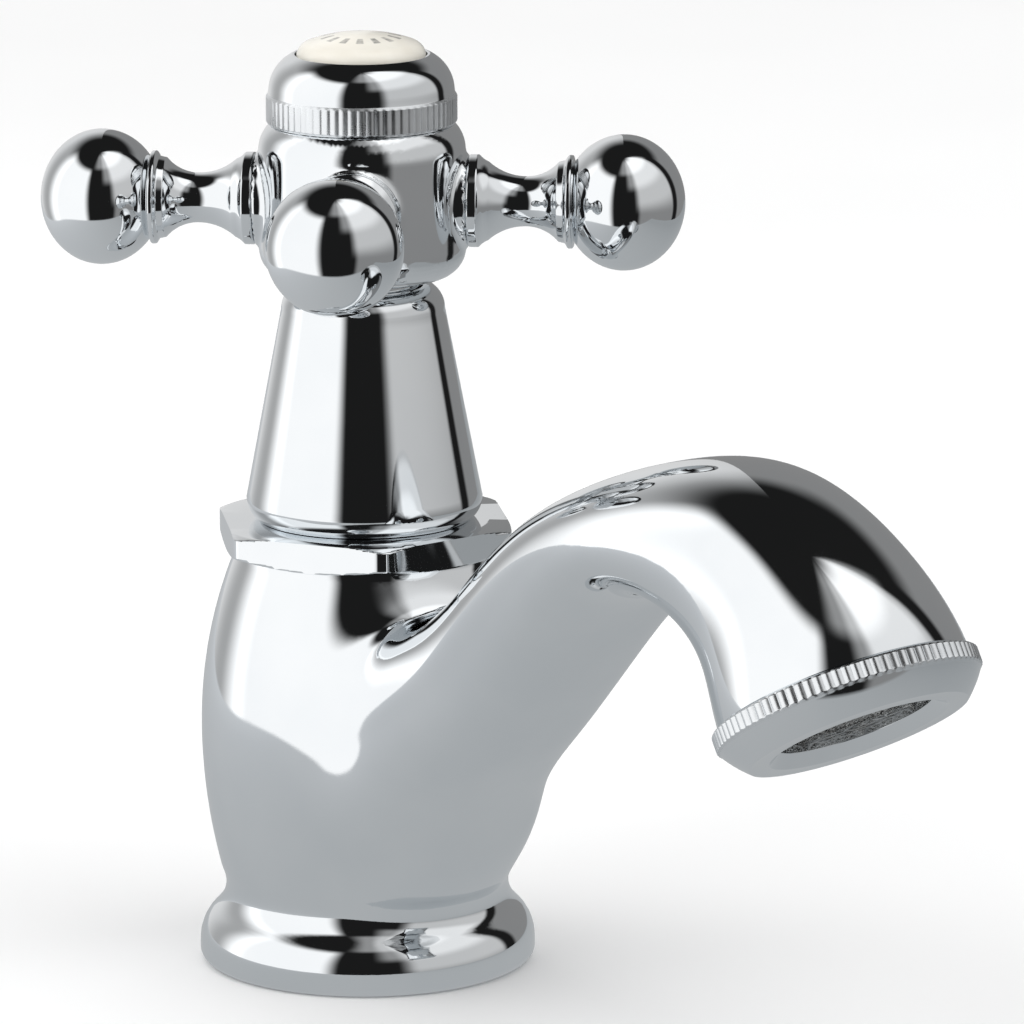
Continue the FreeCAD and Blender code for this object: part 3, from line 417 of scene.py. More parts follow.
def ramp(tree, value, stops):
    """Return a colour ramp of (place, colour) stops over a value."""
    node = tree.nodes.new("ShaderNodeValToRGB")
    tree.links.new(value, node.inputs["Fac"])
    elements = node.color_ramp.elements
    while len(elements) < len(stops):
        elements.new(0.5)
    for element, (place, colour) in zip(elements, stops):
        element.position = place
        element.color = (*colour, 1)
    return node.outputs["Color"]


def calculate(tree, operation, *values):
    """Return a Math node over sockets and numbers."""
    node = tree.nodes.new("ShaderNodeMath")
    node.operation = operation
    for socket, value in zip(node.inputs, values):
        if isinstance(value, (int, float)):
            socket.default_value = value
        else:
            tree.links.new(value, socket)
    return node.outputs["Value"]


def flat_length(tree, first, second):
    """Return the length of a flat vector from its two parts."""
    squares = [calculate(tree, "MULTIPLY", value, value) for value in (first, second)]
    return calculate(tree, "SQRT", calculate(tree, "ADD", *squares))


def along(tree, place, way):
    """Return how far a place or direction reaches along a unit vector."""
    node = tree.nodes.new("ShaderNodeVectorMath")
    node.operation = "DOT_PRODUCT"
    node.inputs[1].default_value = tuple(way)
    tree.links.new(place, node.inputs[0])
    return node.outputs["Value"]


def bumped(tree, shader, height, strength, distance):
    """Give a shader a bump from a height, in metres."""
    node = tree.nodes.new("ShaderNodeBump")
    node.inputs["Strength"].default_value = strength
    node.inputs["Distance"].default_value = distance
    tree.links.new(height, node.inputs["Height"])
    tree.links.new(node.outputs["Normal"], shader.inputs["Normal"])


def plain_material(name, dark, light, rough, scale, grain, metallic=0.0, stretch=(1, 1, 1)):
    """Material with a mottled colour, mottled roughness and a fine grain, its depth in metres."""
    rough_scale, grain_scale, grain_strength = 3 * scale, 2.2 * scale, 0.5
    material, tree, shader = new_material(name)
    mottle = noise(tree, scale, 4.0, stretch)
    tree.links.new(ramp(tree, mottle, [(0.3, dark), (0.7, light)]), shader.inputs["Base Color"])
    tree.links.new(ranged(tree, noise(tree, rough_scale, 3.0, stretch), *rough), shader.inputs["Roughness"])
    shader.inputs["Metallic"].default_value = metallic
    bumped(tree, shader, noise(tree, grain_scale, 5.0, stretch), grain_strength, grain)
    return material


def chrome_material(name, rough):
    """Chrome plate: faint casting waviness, fine polishing marks and dust-dull spots."""
    tint_scale, haze_scale, marks_scale, waves_scale, polish_scale = 60, 240, 700, 55, 2600
    marks_depth, polish_share, bump_strength, bump_depth = 0.03, 0.01, 0.35, 0.00012
    cool, pale = (0.81, 0.835, 0.855), (0.85, 0.87, 0.885)
    material, tree, shader = new_material(name)
    shader.inputs["Metallic"].default_value = 1.0
    tint = ramp(tree, noise(tree, tint_scale, 3.0), [(0.35, cool), (0.65, pale)])
    tree.links.new(tint, shader.inputs["Base Color"])
    haze = ranged(tree, noise(tree, haze_scale, 6.0), *rough, 0.4, 0.75)
    marks = ranged(tree, noise(tree, marks_scale, 2.0, (1, 1, 14)), 0.0, marks_depth, 0.55, 0.75)
    tree.links.new(calculate(tree, "ADD", haze, marks), shader.inputs["Roughness"])
    waves = noise(tree, waves_scale, 1.0)
    polish = calculate(tree, "MULTIPLY", noise(tree, polish_scale, 2.0, (1, 1, 8)), polish_share)
    bumped(tree, shader, calculate(tree, "ADD", waves, polish), bump_strength, bump_depth)
    return material


def index_material():
    """Ivory glaze with a ring of evenly spaced, worn grey dashes."""
    dashes, dash_middle, dash_half, dash_blur = 14.0, 4.6, 0.9, 0.08
    ivory, pale_ivory, ink = (0.83, 0.79, 0.70), (0.88, 0.85, 0.77), (0.16, 0.16, 0.15, 1)
    glaze_scale, wear_scale, rough_scale, bump_scale = 260, 900, 500, 300
    material, tree, shader = new_material("ivory_glaze")
    place = tree.nodes.new("ShaderNodeTexCoord")
    parts = tree.nodes.new("ShaderNodeSeparateXYZ")
    tree.links.new(place.outputs["Object"], parts.inputs["Vector"])
    x, y = (calculate(tree, "MULTIPLY", parts.outputs[axis], 1 / MM) for axis in "XY")
    radius = flat_length(tree, x, y)
    off = calculate(tree, "ABSOLUTE", calculate(tree, "SUBTRACT", radius, dash_middle))
    band = ranged(tree, off, 1.0, 0.0, dash_half - dash_blur, dash_half + dash_blur)
    angle = calculate(tree, "ARCTAN2", y, x)
    wave = calculate(tree, "COSINE", calculate(tree, "MULTIPLY", angle, dashes))
    marks = calculate(tree, "MULTIPLY", ranged(tree, wave, 0.0, 1.0, 0.0, 0.5), band)
    worn = calculate(tree, "MULTIPLY", marks, ranged(tree, noise(tree, wear_scale, 4.0), 0.35, 0.85))
    glaze = ramp(tree, noise(tree, glaze_scale, 4.0), [(0.3, ivory), (0.7, pale_ivory)])
    mix = tree.nodes.new("ShaderNodeMix")
    mix.data_type = "RGBA"
    tree.links.new(worn, mix.inputs["Factor"])
    tree.links.new(glaze, mix.inputs["A"])
    mix.inputs["B"].default_value = ink
    tree.links.new(mix.outputs["Result"], shader.inputs["Base Color"])
    tree.links.new(ranged(tree, noise(tree, rough_scale, 3.0), 0.12, 0.26), shader.inputs["Roughness"])
    shader.inputs["Coat Weight"].default_value = 0.4
    shader.inputs["Coat Roughness"].default_value = 0.08
    bumped(tree, shader, noise(tree, bump_scale, 3.0), 0.3, 0.00003)
    return material


CHROME = chrome_material("chrome_plate", (0.015, 0.06))
KNURL = chrome_material("chrome_knurl", (0.26, 0.36))
IVORY = index_material()
# Dark and light colour, roughness, mottling per metre, depth of the grain in metres, metallic, stretch.
PLAIN_LOOKS = {
    "brass": ((0.60, 0.40, 0.14), (0.78, 0.56, 0.24), (0.22, 0.42), 320, 0.00001, 1.0, (1, 1, 9)),
    "black_rubber": ((0.012, 0.012, 0.013), (0.03, 0.03, 0.032), (0.55, 0.8), 900, 0.00003),
    "valve_ceramic": ((0.80, 0.79, 0.75), (0.90, 0.89, 0.86), (0.16, 0.3), 420, 0.000006),
    "stainless": ((0.42, 0.42, 0.42), (0.56, 0.56, 0.55), (0.22, 0.4), 700, 0.000008, 1.0),
    "white_plastic": ((0.70, 0.70, 0.68), (0.78, 0.78, 0.76), (0.35, 0.5), 500, 0.00001),
    "red_fibre": ((0.22, 0.035, 0.025), (0.36, 0.07, 0.05), (0.6, 0.85), 1400, 0.00004),
}
MATERIALS = {name: plain_material(name, *looks) for name, looks in PLAIN_LOOKS.items()}
MATERIALS |= {"chrome_plate": CHROME, "ivory_glaze": IVORY}
BRASS, STAINLESS = MATERIALS["brass"], MATERIALS["stainless"]


def finish_piece(made, body, slot, *nodes):
    """Say which body a piece rides on and the CAD nodes it stands for; the material slot is not used."""
    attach(made, body)
    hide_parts(*nodes)


def dull_knurl(made, origin, axis, radius, low, high):
    """Give the faces of a knurled band, found from a ring's origin and axis, the duller chrome."""
    made.data.materials.append(KNURL)
    for face in made.data.polygons:
        offset = np.array(face.center) / MM - origin
        depth = offset @ axis
        if low < depth < high and np.linalg.norm(offset - depth * axis) > radius:
            face.material_index = 1


# ---- casting
# Stations of the spout: reach and height of the section's middle, half-height, half-width,
# squareness of the superellipse and the share by which it widens towards its upper side.
STATIONS = [
    (-7.0, 19.5, 7.0, 7.0, 2.0, 0.0),
    (5.8, 26.9, 19.8, 17.4, 2.2, 0.0),
    (18.3, 35.8, 14.9, 15.8, 2.7, 0.1),
    (31.0, 44.6, 10.9, 13.1, 2.9, 0.12),
    (42.7, 55.4, 9.5, 13.2, 2.9, 0.12),
    (54.3, 65.8, 8.4, 14.4, 2.7, 0.07),
    (68.0, 72.1, 8.5, 15.0, 2.4, 0.0),
    (83.6, 71.4, 11.8, 14.3, 2.2, 0.0),
    (93.6, 66.0, 14.4, 15.0, 2.1, 0.0),
    (101.5, 56.8, 16.75, 16.75, 2.0, 0.0),
]
MOUTH_OVERRUN = 4.0
BLEND_TOP = 8.0
BLEND_TIP = 4.0
BLEND_FLANK = 5.0
TIP_HEIGHT = 38.5
FLANK_HEIGHT = 24.0
SKIN_BOTTOM = -1.5
SPREAD_LIMIT = 1.3
INLET_RADIUS = 9.32
INLET_DEPTH = 13.0
THREAD_START = 0.8
GROOVE_OUTSIDE = 20.0
FOOT_ROUND = 1.6
SOCKET_RADIUS = 13.9


def barrel_outline():
    """Return fine samples of the barrel's outside radius over its height, slightly smoothed."""
    rim, rim_height = FLANGE_RADIUS, 2.6
    flare, flare_height = 21.2, 7.0
    waist, waist_height, waist_curve = 19.9, 12.9, 4.6
    belly, belly_height = 22.5, 33.0
    shoulder, shoulder_height = 17.7, COLLAR_TOP - COLLAR_HEIGHT
    bottom, top = -6.0, COLLAR_TOP + 6.0
    sample_step, smoothing, smoothing_reach = 0.05, 12.0, 30
    points = [(rim, bottom), (rim, rim_height)]
    bow(points, (flare, flare_height), "right", 30)
    bow(points, (waist, waist_height), "left", 60, waist_curve)
    bow(points, (belly, belly_height), "right", 60)
    bow(points, (shoulder, shoulder_height), "right", 60)
    points += [(shoulder, top)]
    radii, heights = np.array(points).T
    samples = np.arange(bottom, top, sample_step)
    radius = np.interp(samples, heights, radii)
    kernel = np.exp(-((np.arange(-smoothing_reach, smoothing_reach + 1) / smoothing) ** 2))
    padded = np.pad(radius, smoothing_reach, mode="edge")
    return samples, np.convolve(padded, kernel / kernel.sum(), mode="valid")


BARREL_HEIGHTS, BARREL_RADII = barrel_outline()
BARREL_SLOPES = np.gradient(BARREL_RADII, BARREL_HEIGHTS)


def barrel_field(x, y, z):
    """Distance from the barrel's skin, which ends inside the collar."""
    skin_top = COLLAR_TOP - 1.5
    radius = np.interp(z, BARREL_HEIGHTS, BARREL_RADII)
    slope = np.interp(z, BARREL_HEIGHTS, BARREL_SLOPES)
    side = (np.sqrt(x * x + y * y) - radius) / np.sqrt(1 + slope * slope)
    return np.maximum(side, z - skin_top)


def spout_splines():
    """Return the spout's length and a spline over it for each number of a station."""
    stations = np.array(STATIONS)
    stations[-1, :2] = -MOUTH[1], MOUTH[2]
    beyond = stations[-1].copy()
    beyond[0] += MOUTH_OVERRUN * OUTLET_AXIS[1]
    beyond[1] -= MOUTH_OVERRUN * OUTLET_AXIS[2]
    stations = np.vstack([stations, beyond])
    steps = np.linalg.norm(np.diff(stations[:, :2], axis=0), axis=1)
    knots = np.concatenate([[0], np.cumsum(steps)])
    return knots[-1], [spline(knots, column) for column in stations.T]


SPOUT_LENGTH, SPOUT = spout_splines()


def spout_place(reach, height, count=70, refining=4, least_bend=0.2):
    """Return the place along the spout's middle line nearest to points in its plane."""
    samples = np.linspace(0, SPOUT_LENGTH, count)
    line_reach, line_height = SPOUT[0](samples)[0], SPOUT[1](samples)[0]
    best = np.full(np.broadcast(reach, height).shape, np.inf)
    place = np.zeros(best.shape)
    for sample, one, other in zip(samples, line_reach, line_height):
        gap = (reach - one) ** 2 + (height - other) ** 2
        nearer = gap < best
        best = np.where(nearer, gap, best)
        place = np.where(nearer, sample, place)
    for _ in range(refining):
        one, one_slope, one_bend = SPOUT[0](place)
        other, other_slope, other_bend = SPOUT[1](place)
        off_one, off_other = one - reach, other - height
        slope = off_one * one_slope + off_other * other_slope
        bend = one_slope**2 + other_slope**2 + off_one * one_bend + off_other * other_bend
        place = np.clip(place - slope / np.maximum(bend, least_bend), 0, SPOUT_LENGTH)
    return place


def spout_field(x, y, z, least_share=1e-6):
    """Distance from the spout's skin."""
    place = spout_place(-y, z)
    one, one_slope, _ = SPOUT[0](place)
    other, other_slope, _ = SPOUT[1](place)
    length = np.hypot(one_slope, other_slope)
    off_one, off_other = -y - one, z - other
    along = (off_one * one_slope + off_other * other_slope) / length
    up = (off_other * one_slope - off_one * other_slope) / length
    half_height, half_width, power, spread = (SPOUT[index](place)[0] for index in (2, 3, 4, 5))
    half_width = half_width * (1 + spread * np.clip(up / half_height, -SPREAD_LIMIT, SPREAD_LIMIT))
    share = (np.abs(x / half_width) ** power + np.abs(up / half_height) ** power) ** (1 / power)
    radius = np.sqrt(x * x + up * up)
    side = radius * (1 - 1 / np.maximum(share, least_share))
    past_ends = np.abs(along) + np.maximum(place - SPOUT_LENGTH, -place)
    return np.maximum(side, past_ends)


def casting_field(x, y, z):
    """Barrel and spout with a fillet that narrows down the valley and widens a little below its tip."""
    height = z + 0 * x
    blend = BLEND_TIP + (BLEND_TOP - BLEND_TIP) * smooth_step(TIP_HEIGHT, COLLAR_TOP - 4.0, height)
    blend = blend + (BLEND_FLANK - BLEND_TIP) * smooth_step(TIP_HEIGHT - 1.0, FLANK_HEIGHT, height)
    joined = smooth_join(barrel_field(x, y, z), spout_field(x, y, z), blend)
    return np.maximum(joined, SKIN_BOTTOM - z)


def hexagon_radii(turns, corner=21.9, corner_cut=0.25, sharpness=3.0):
    """Return the radius of a hexagon with softened corners at some angles."""
    side_turn = math.radians(60)
    from_middle = turns % side_turn - side_turn / 2
    radii = corner * math.cos(side_turn / 2) / np.cos(from_middle)
    return -np.log(np.exp(-sharpness * radii) + math.exp(-sharpness * (corner - corner_cut))) / sharpness


def collar_part():
    """Hexagonal collar, chamfered above and below, with softened corners."""
    turns = full_turn(6 * 24)
    inside, past_corner, edge = 12.0, 22.5, 0.15
    low, slope_top, chamfer_low = COLLAR_TOP - COLLAR_HEIGHT, COLLAR_TOP - 2.75, COLLAR_TOP - 0.85
    slope_radii, chamfer_radii = np.linspace(18.0, 22.4, 14), np.linspace(22.3, 20.3, 10)
    slope_heights = np.linspace(low + edge, slope_top, len(slope_radii))
    chamfer_heights = np.linspace(chamfer_low + 0.1, chamfer_low + 0.8, len(chamfer_radii))
    outline = [(inside, low + 0.2), (17.2, low)]
    outline += zip(slope_radii, slope_heights)
    outline += [(past_corner, slope_top + edge), (past_corner, chamfer_low)]
    outline += zip(chamfer_radii, chamfer_heights)
    outline += [(20.0, COLLAR_TOP), (17.0, COLLAR_TOP), (inside, COLLAR_TOP)]
    hexagon = hexagon_radii(turns)
    rings = [ring_points(np.minimum(radius, hexagon), turns, height) for radius, height in outline]
    return np.concatenate(rings), joined_rows(number_rows(len(rings), len(turns)), closed=True)


def inlet_ripple(pitch=1.814, depth=0.75, outside=12.0):
    """Return a ripple that cuts a helical thread in the inlet."""
    def ripple(turns, radius, height):
        if radius > outside or not THREAD_START < height < INLET_DEPTH:
            return 0 * turns
        phase = (height / pitch - turns / (2 * math.pi)) % 1
        fade = min((height - THREAD_START) / pitch, (INLET_DEPTH - height) / pitch, 1.0)
        return fade * depth * (1 - np.abs(2 * phase - 1))
    return ripple


def core_part():
    """Everything cut from the casting on the barrel's axis, with the space under its foot."""
    rim, below, beyond, gap = FLANGE_RADIUS, -4, 3, 0.02
    groove_inside, groove_depth = 16.0, 1.8
    inlet_mouth, inlet_chamfer, thread_step = 9.9, 0.6, 0.2
    chamber, chamber_low, chamber_high = 16.0, 20.0, 28.2
    seat, seat_bore, seat_bore_length = COLLAR_TOP - 23.0, 5.5, 5.2
    land, land_height = 9.0, 1.5
    ports, ports_rise, bore_rise = 14.0, 8.3, 11.8
    bore, bore_mouth, bore_chamfer = 10.48, 10.9, 0.4
    above = COLLAR_TOP + 8
    outline = [(0, below), (rim + beyond, below), (rim + beyond, FOOT_ROUND + 0.3), (rim + gap, FOOT_ROUND)]
    bow(outline, (rim - FOOT_ROUND, 0.0), "left", 8, FOOT_ROUND + gap)
    outline += [(GROOVE_OUTSIDE, 0), (GROOVE_OUTSIDE, groove_depth), (groove_inside, groove_depth)]
    outline += [(groove_inside, 0), (inlet_mouth, 0), (INLET_RADIUS, inlet_chamfer)]
    outline += [(INLET_RADIUS, height) for height in np.arange(THREAD_START, INLET_DEPTH, thread_step)]
    outline += [(INLET_RADIUS, INLET_DEPTH), (chamber, chamber_low), (chamber, chamber_high)]
    outline += [(seat_bore, seat - seat_bore_length), (seat_bore, seat), (land, seat)]
    outline += [(land, seat - land_height), (ports, seat - land_height), (ports, seat + ports_rise)]
    outline += [(bore, seat + bore_rise), (bore, COLLAR_TOP - bore_chamfer), (bore_mouth, COLLAR_TOP + gap)]
    outline += [(bore_mouth, above), (0, above)]
    return lathe(outline, 144, inlet_ripple())


def mouth_part():
    """The outlet's socket, the space beyond the mouth and a chamfer round its rim."""
    beyond, wide, depth = -8, 26, 8
    rim, rim_chamfer, chamfer_depth = 16.45, 0.5, 0.4
    outline = [(0, beyond), (wide, beyond), (wide, chamfer_depth), (rim + rim_chamfer, chamfer_depth)]
    outline += [(rim, 0), (SOCKET_RADIUS, 0), (SOCKET_RADIUS, depth), (0, depth)]
    return placed(lathe(outline, 144), outlet_matrix())


def waterway_part():
    """Cored waterway along the spout, from the valve chamber to the socket."""
    wall, tallest, widest = 3.2, 9.5, 11.0
    start, end, count = 0.17, 0.93, 40
    turns = full_turn(40)
    rings = []
    for place in np.linspace(start, end, count) * SPOUT_LENGTH:
        one, one_slope, _ = SPOUT[0](place)
        other, other_slope, _ = SPOUT[1](place)
        length = math.hypot(one_slope, other_slope)
        half_height = min(SPOUT[2](place)[0] - wall, tallest)
        half_width = min(SPOUT[3](place)[0] - wall, widest)
        up = half_height * np.sin(turns)
        rings.append(np.stack([
            half_width * np.cos(turns),
            -(one - up * other_slope / length),
            other + up * one_slope / length,
        ], axis=1))
    rows = number_rows(count, len(turns))
    faces = [tuple(rows[0][::-1]), tuple(rows[-1])] + joined_rows(rows, closed=False)
    return np.concatenate(rings), faces


def plate_outside(casting):
    """Give the cut faces round the foot and round the mouth the plate's material."""
    foot_top, foot_inside = FOOT_ROUND + 0.25, GROOVE_OUTSIDE + 0.2
    lip_depth, lip_inside = 0.6, SOCKET_RADIUS + 0.3
    for face in casting.data.polygons:
        centre = np.array(face.center) / MM
        on_foot = centre[2] < foot_top and math.hypot(centre[0], centre[1]) > foot_inside
        offset = centre - MOUTH
        depth = offset @ OUTLET_AXIS
        on_lip = abs(depth) < lip_depth and np.linalg.norm(offset - depth * OUTLET_AXIS) > lip_inside
        if on_foot or on_lip:
            face.material_index = 0


def build_casting():
    """Tap body: skin from the field, collar added, core, mouth and waterway cut."""
    around, reach, bottom, top, cell = 25.0, 118.0 + MOUTH_OVERRUN, -3.0, 84.0, 0.8
    points, faces = surface_net(casting_field, (-around, -reach, bottom), (around, around, top), cell)
    casting = make_object("tap_casting", points, faces, CHROME)
    combine(casting, make_object("collar", *collar_part(), CHROME), "UNION")
    combine(casting, make_object("core", *core_part(), BRASS), "DIFFERENCE")
    combine(casting, make_object("mouth", *mouth_part(), BRASS), "DIFFERENCE")
    combine(casting, make_object("waterway", *waterway_part(), BRASS), "DIFFERENCE")
    plate_outside(casting)
    set_field_normals(casting, casting_field)
    finish_piece(casting, "tap", "chrome_plate", "tap_body")


# ---- shroud
def build_shroud():
    """Tapered bell between the collar and the handle."""
    foot, bulge, bulge_rise = 14.4, 16.05, 2.9
    shoulder, shoulder_rise, rim, rise = 11.1, 28.9, 9.0, 32.2
    bore, bore_length, under_bore, inside = 8.1, 2.0, 9.4, 13.2
    web_bore, web_low, web_high = 8.55, 9.6, 13.3
    outline = [(foot, 0.0)]
    bow(outline, (bulge, bulge_rise), "right", 8)
    for share in (0.04, 0.5, 0.96, 1.0):
        radius = bulge + (shoulder - bulge) * share
        outline.append((radius, bulge_rise + (shoulder_rise - bulge_rise) * share))
    bow(outline, (rim, rise), "right", 8)
    outline += [(bore, rise), (bore, rise - bore_length), (under_bore, rise - bore_length)]
    outline += [(inside, web_high), (web_bore, web_high), (web_bore, web_low), (inside, web_low)]
    outline += [(inside, 0.0)]
    points, faces = lathe(soften(outline, 0.35), 192)
    points[:, 2] += COLLAR_TOP
    made = make_object("shroud_bell", points, faces, CHROME)
    finish_piece(made, "tap", "chrome_plate", "shroud")


# ---- handle
HUB_OUTLINE_RISES = (33.8, 37.3, 50.6, 54.3)
BOSS_RADIUS = 6.25
BOSS_END = 14.45


def polygon_distance(radius, height, points):
    """Signed distance from a closed outline in the plane of radius and height."""
    best = np.full(np.broadcast(radius, height).shape, np.inf)
    inside = np.zeros(best.shape, bool)
    for (r0, z0), (r1, z1) in zip(points, points[1:] + points[:1]):
        dr, dz = r1 - r0, z1 - z0
        share = np.clip(((radius - r0) * dr + (height - z0) * dz) / (dr * dr + dz * dz), 0, 1)
        gap = (radius - r0 - share * dr) ** 2 + (height - z0 - share * dz) ** 2
        best = np.minimum(best, gap)
        crosses = (z0 > height) != (z1 > height)
        if dz:
            inside ^= crosses & (radius < r0 + (height - z0) * dr / dz)
    return np.where(inside, -1, 1) * np.sqrt(best)


def hub_outline():
    """Outside of the hub as a closed outline, with its neck below."""
    foot, low, high, top = (COLLAR_TOP + rise for rise in HUB_OUTLINE_RISES)
    neck, neck_length, foot_radius, widest, top_radius = 7.75, 7.2, 8.2, 14.0, 12.4
    past_axis = -1.0
    outline = [(past_axis, foot - neck_length), (neck, foot - neck_length), (neck, foot), (foot_radius, foot)]
    bow(outline, (widest, low), "right", 12)
    outline += [(widest, high)]
    bow(outline, (top_radius, top), "right", 10)
    outline += [(past_axis, top)]
    return outline


HUB_OUTLINE = hub_outline()


def hub_field(x, y, z):
    """Hub with four arm bosses, their edges rounded and their feet filleted."""
    edge, fillet = 0.35, 1.2
    radius = np.sqrt(x * x + y * y)
    turned = polygon_distance(radius, z, HUB_OUTLINE)
    rise = z - ARM_HEIGHT
    turn = math.radians(HANDLE_ANGLE)
    one = np.abs(x * math.cos(turn) + y * math.sin(turn))
    other = np.abs(y * math.cos(turn) - x * math.sin(turn))
    bosses = np.inf
    for out, across in ((one, other), (other, one)):
        side = np.sqrt(across * across + rise * rise) - BOSS_RADIUS + edge
        end = out - BOSS_END + edge
        outside = np.sqrt(np.maximum(side, 0) ** 2 + np.maximum(end, 0) ** 2)
        boss = np.minimum(np.maximum(side, end), 0) + outside - edge
        bosses = np.minimum(bosses, boss)
    return smooth_join(turned, bosses, fillet)


def build_hub():
    """Hub of the cross handle."""
    foot, _, _, top = (COLLAR_TOP + rise for rise in HUB_OUTLINE_RISES)
    around, cell = 16.0, 0.45
    bush_bore, web, web_top, screw_hole = 6.25, COLLAR_TOP + 39.35, COLLAR_TOP + 42.35, 2.9
    screw_bore, ring_bore, ring_floor = 6.0, 9.6, top - 5.5
    below, above = foot - 10, top + 3
    socket_radius, socket_start, socket_end = 3.18, 9.6, 20
    points, faces = surface_net(hub_field, (-around, -around, foot - 8.0), (around, around, top + 1.0), cell)
    hub = make_object("handle_centre", points, faces, CHROME)
    core = [(0, below), (bush_bore, below), (bush_bore, web), (screw_hole, web), (screw_hole, web_top)]
    core += [(screw_bore, web_top), (screw_bore, ring_floor), (ring_bore, ring_floor)]
    core += [(ring_bore, above), (0, above)]
    combine(hub, make_object("hub_core", *lathe(core, 96), BRASS), "DIFFERENCE")
    socket = [(0, socket_start), (socket_radius, socket_start), (socket_radius, socket_end), (0, socket_end)]
    for quarter_turns in range(4):
        part = placed(lathe(socket, 48), arm_matrix(quarter_turns))
        combine(hub, make_object("arm_socket", *part, BRASS), "DIFFERENCE")
    set_field_normals(hub, hub_field)
    finish_piece(hub, "handle", "chrome_plate", "handle_hub")


def arm_outline():
    """Outline of an arm: radius over distance from the handle's axis."""
    spigot, spigot_start = 3.1, 9.65
    collar_end, step, step_end, step_curve = 15.8, 5.3, 17.1, 3.2
    neck, neck_middle, flare, flare_end = 3.37, 22.2, 5.4, 26.6
    bead, bead_foot, bead_start, bead_end = 6.3, (5.6, 27.5), 27.9, 28.6
    ball, round_radius, long_radius = 35.4, 9.17, 8.25
    start_turn = math.acos((ball - bead_end) / long_radius)
    outline = [(0.0, spigot_start), (spigot, spigot_start), (spigot, BOSS_END)]
    outline += [(BOSS_RADIUS, BOSS_END), (BOSS_RADIUS, collar_end)]
    bow(outline, (step, step_end), "left", 4, step_curve)
    bow(outline, (neck, neck_middle), "left", 14)
    bow(outline, (flare, flare_end), "left", 14)
    outline += [bead_foot, (bead, bead_start), (bead, bead_end)]
    for turn in np.linspace(start_turn, math.pi, 34)[:-1]:
        outline.append((round_radius * math.sin(turn), ball - long_radius * math.cos(turn)))
    outline.append((0.0, ball + long_radius))
    return outline


def build_arms():
    """Four arms, one at each quarter of the hub."""
    outline = soften(arm_outline(), 0.3)
    names = ("arm_back_right", "arm_back_left", "arm_front_left", "arm_front_right")
    for quarter_turns, name in enumerate(names):
        points, faces = placed(lathe(outline, 96), arm_matrix(quarter_turns))
        made = make_object(name.replace("arm", "turned_arm"), points, faces, CHROME)
        finish_piece(made, "handle", "chrome_plate", name)


def ribs(count, depth, low, high, least_radius, fade_length=0.35):
    """Return a ripple of convex straight ribs between two heights."""
    def ripple(turns, radius, height):
        if radius < least_radius or not low < height < high:
            return 0 * turns
        fade = smooth_step(0, fade_length, min(height - low, high - height))
        return -fade * depth * (1 - np.abs(np.cos(count * turns / 2)))
    return ripple


def build_cap_ring():
    """Knurled cap ring that holds the index disc; returns the height of its top."""
    low = COLLAR_TOP + 54.35
    top, knurl_top = low + 9.35, low + 3.8
    bore, spigot, spigot_length = 7.62, 9.52, 5.2
    knurl, edge, rib_count, rib_depth, knurl_inside = 12.9, 0.35, 68, 0.12, 12.5
    crown, crown_low, rim, lip, lip_depth = 12.55, knurl_top + 0.5, 9.3, 8.9, 2.7
    outline = [(bore, low - spigot_length), (spigot, low - spigot_length), (spigot, low)]
    outline += [(knurl - edge, low), (knurl, low + edge)]
    outline += [(knurl, low + 0.5 + 0.35 * step) for step in range(9)]
    outline += [(knurl, knurl_top - 0.15), (crown + 0.07, knurl_top + 0.25)]
    outline += arc((crown, crown_low), (rim, top), quarter(top - crown_low, crown - rim), "right", 16)
    outline += [(lip, top), (lip, top - lip_depth), (bore, top - lip_depth)]
    ripple = ribs(rib_count, rib_depth, low + 0.05, knurl_top + 0.1, knurl_inside)
    made = make_object("cap_knurled_ring", *lathe(soften(outline, 0.12), rib_count * 8, ripple), CHROME)
    dull_knurl(made, np.array((0, 0, low)), np.array((0, 0, 1.0)), knurl_inside, 0.1, 4.0)
    finish_piece(made, "handle", "chrome_plate", "cap_ring")
    return top


def build_index_disc(cap_top):
    """Domed ivory disc in the middle of the cap ring."""
    low, radius, side = cap_top - 2.65, 8.75, 2.25
    groove, groove_low, groove_high = 8.1, low + 0.55, low + 1.55
    brow_run, brow_rise, crown_rise = 1.6, 2.1, 1.2
    brow, brow_high = radius - brow_run, low + side + brow_rise
    top = brow_high + crown_rise
    outline = [(0.0, low), (radius, low), (radius, groove_low), (groove, groove_low)]
    outline += [(groove, groove_high), (radius, groove_high), (radius, low + side)]
    bow(outline, (brow, brow_high), "right", 12)
    bow(outline, (0.0, top), "right", 20, quarter(brow, crown_rise))
    made = make_object("index_button", *lathe(soften(outline, 0.3), 128), IVORY)
    finish_piece(made, "handle", "ivory_glaze", "index_disc")


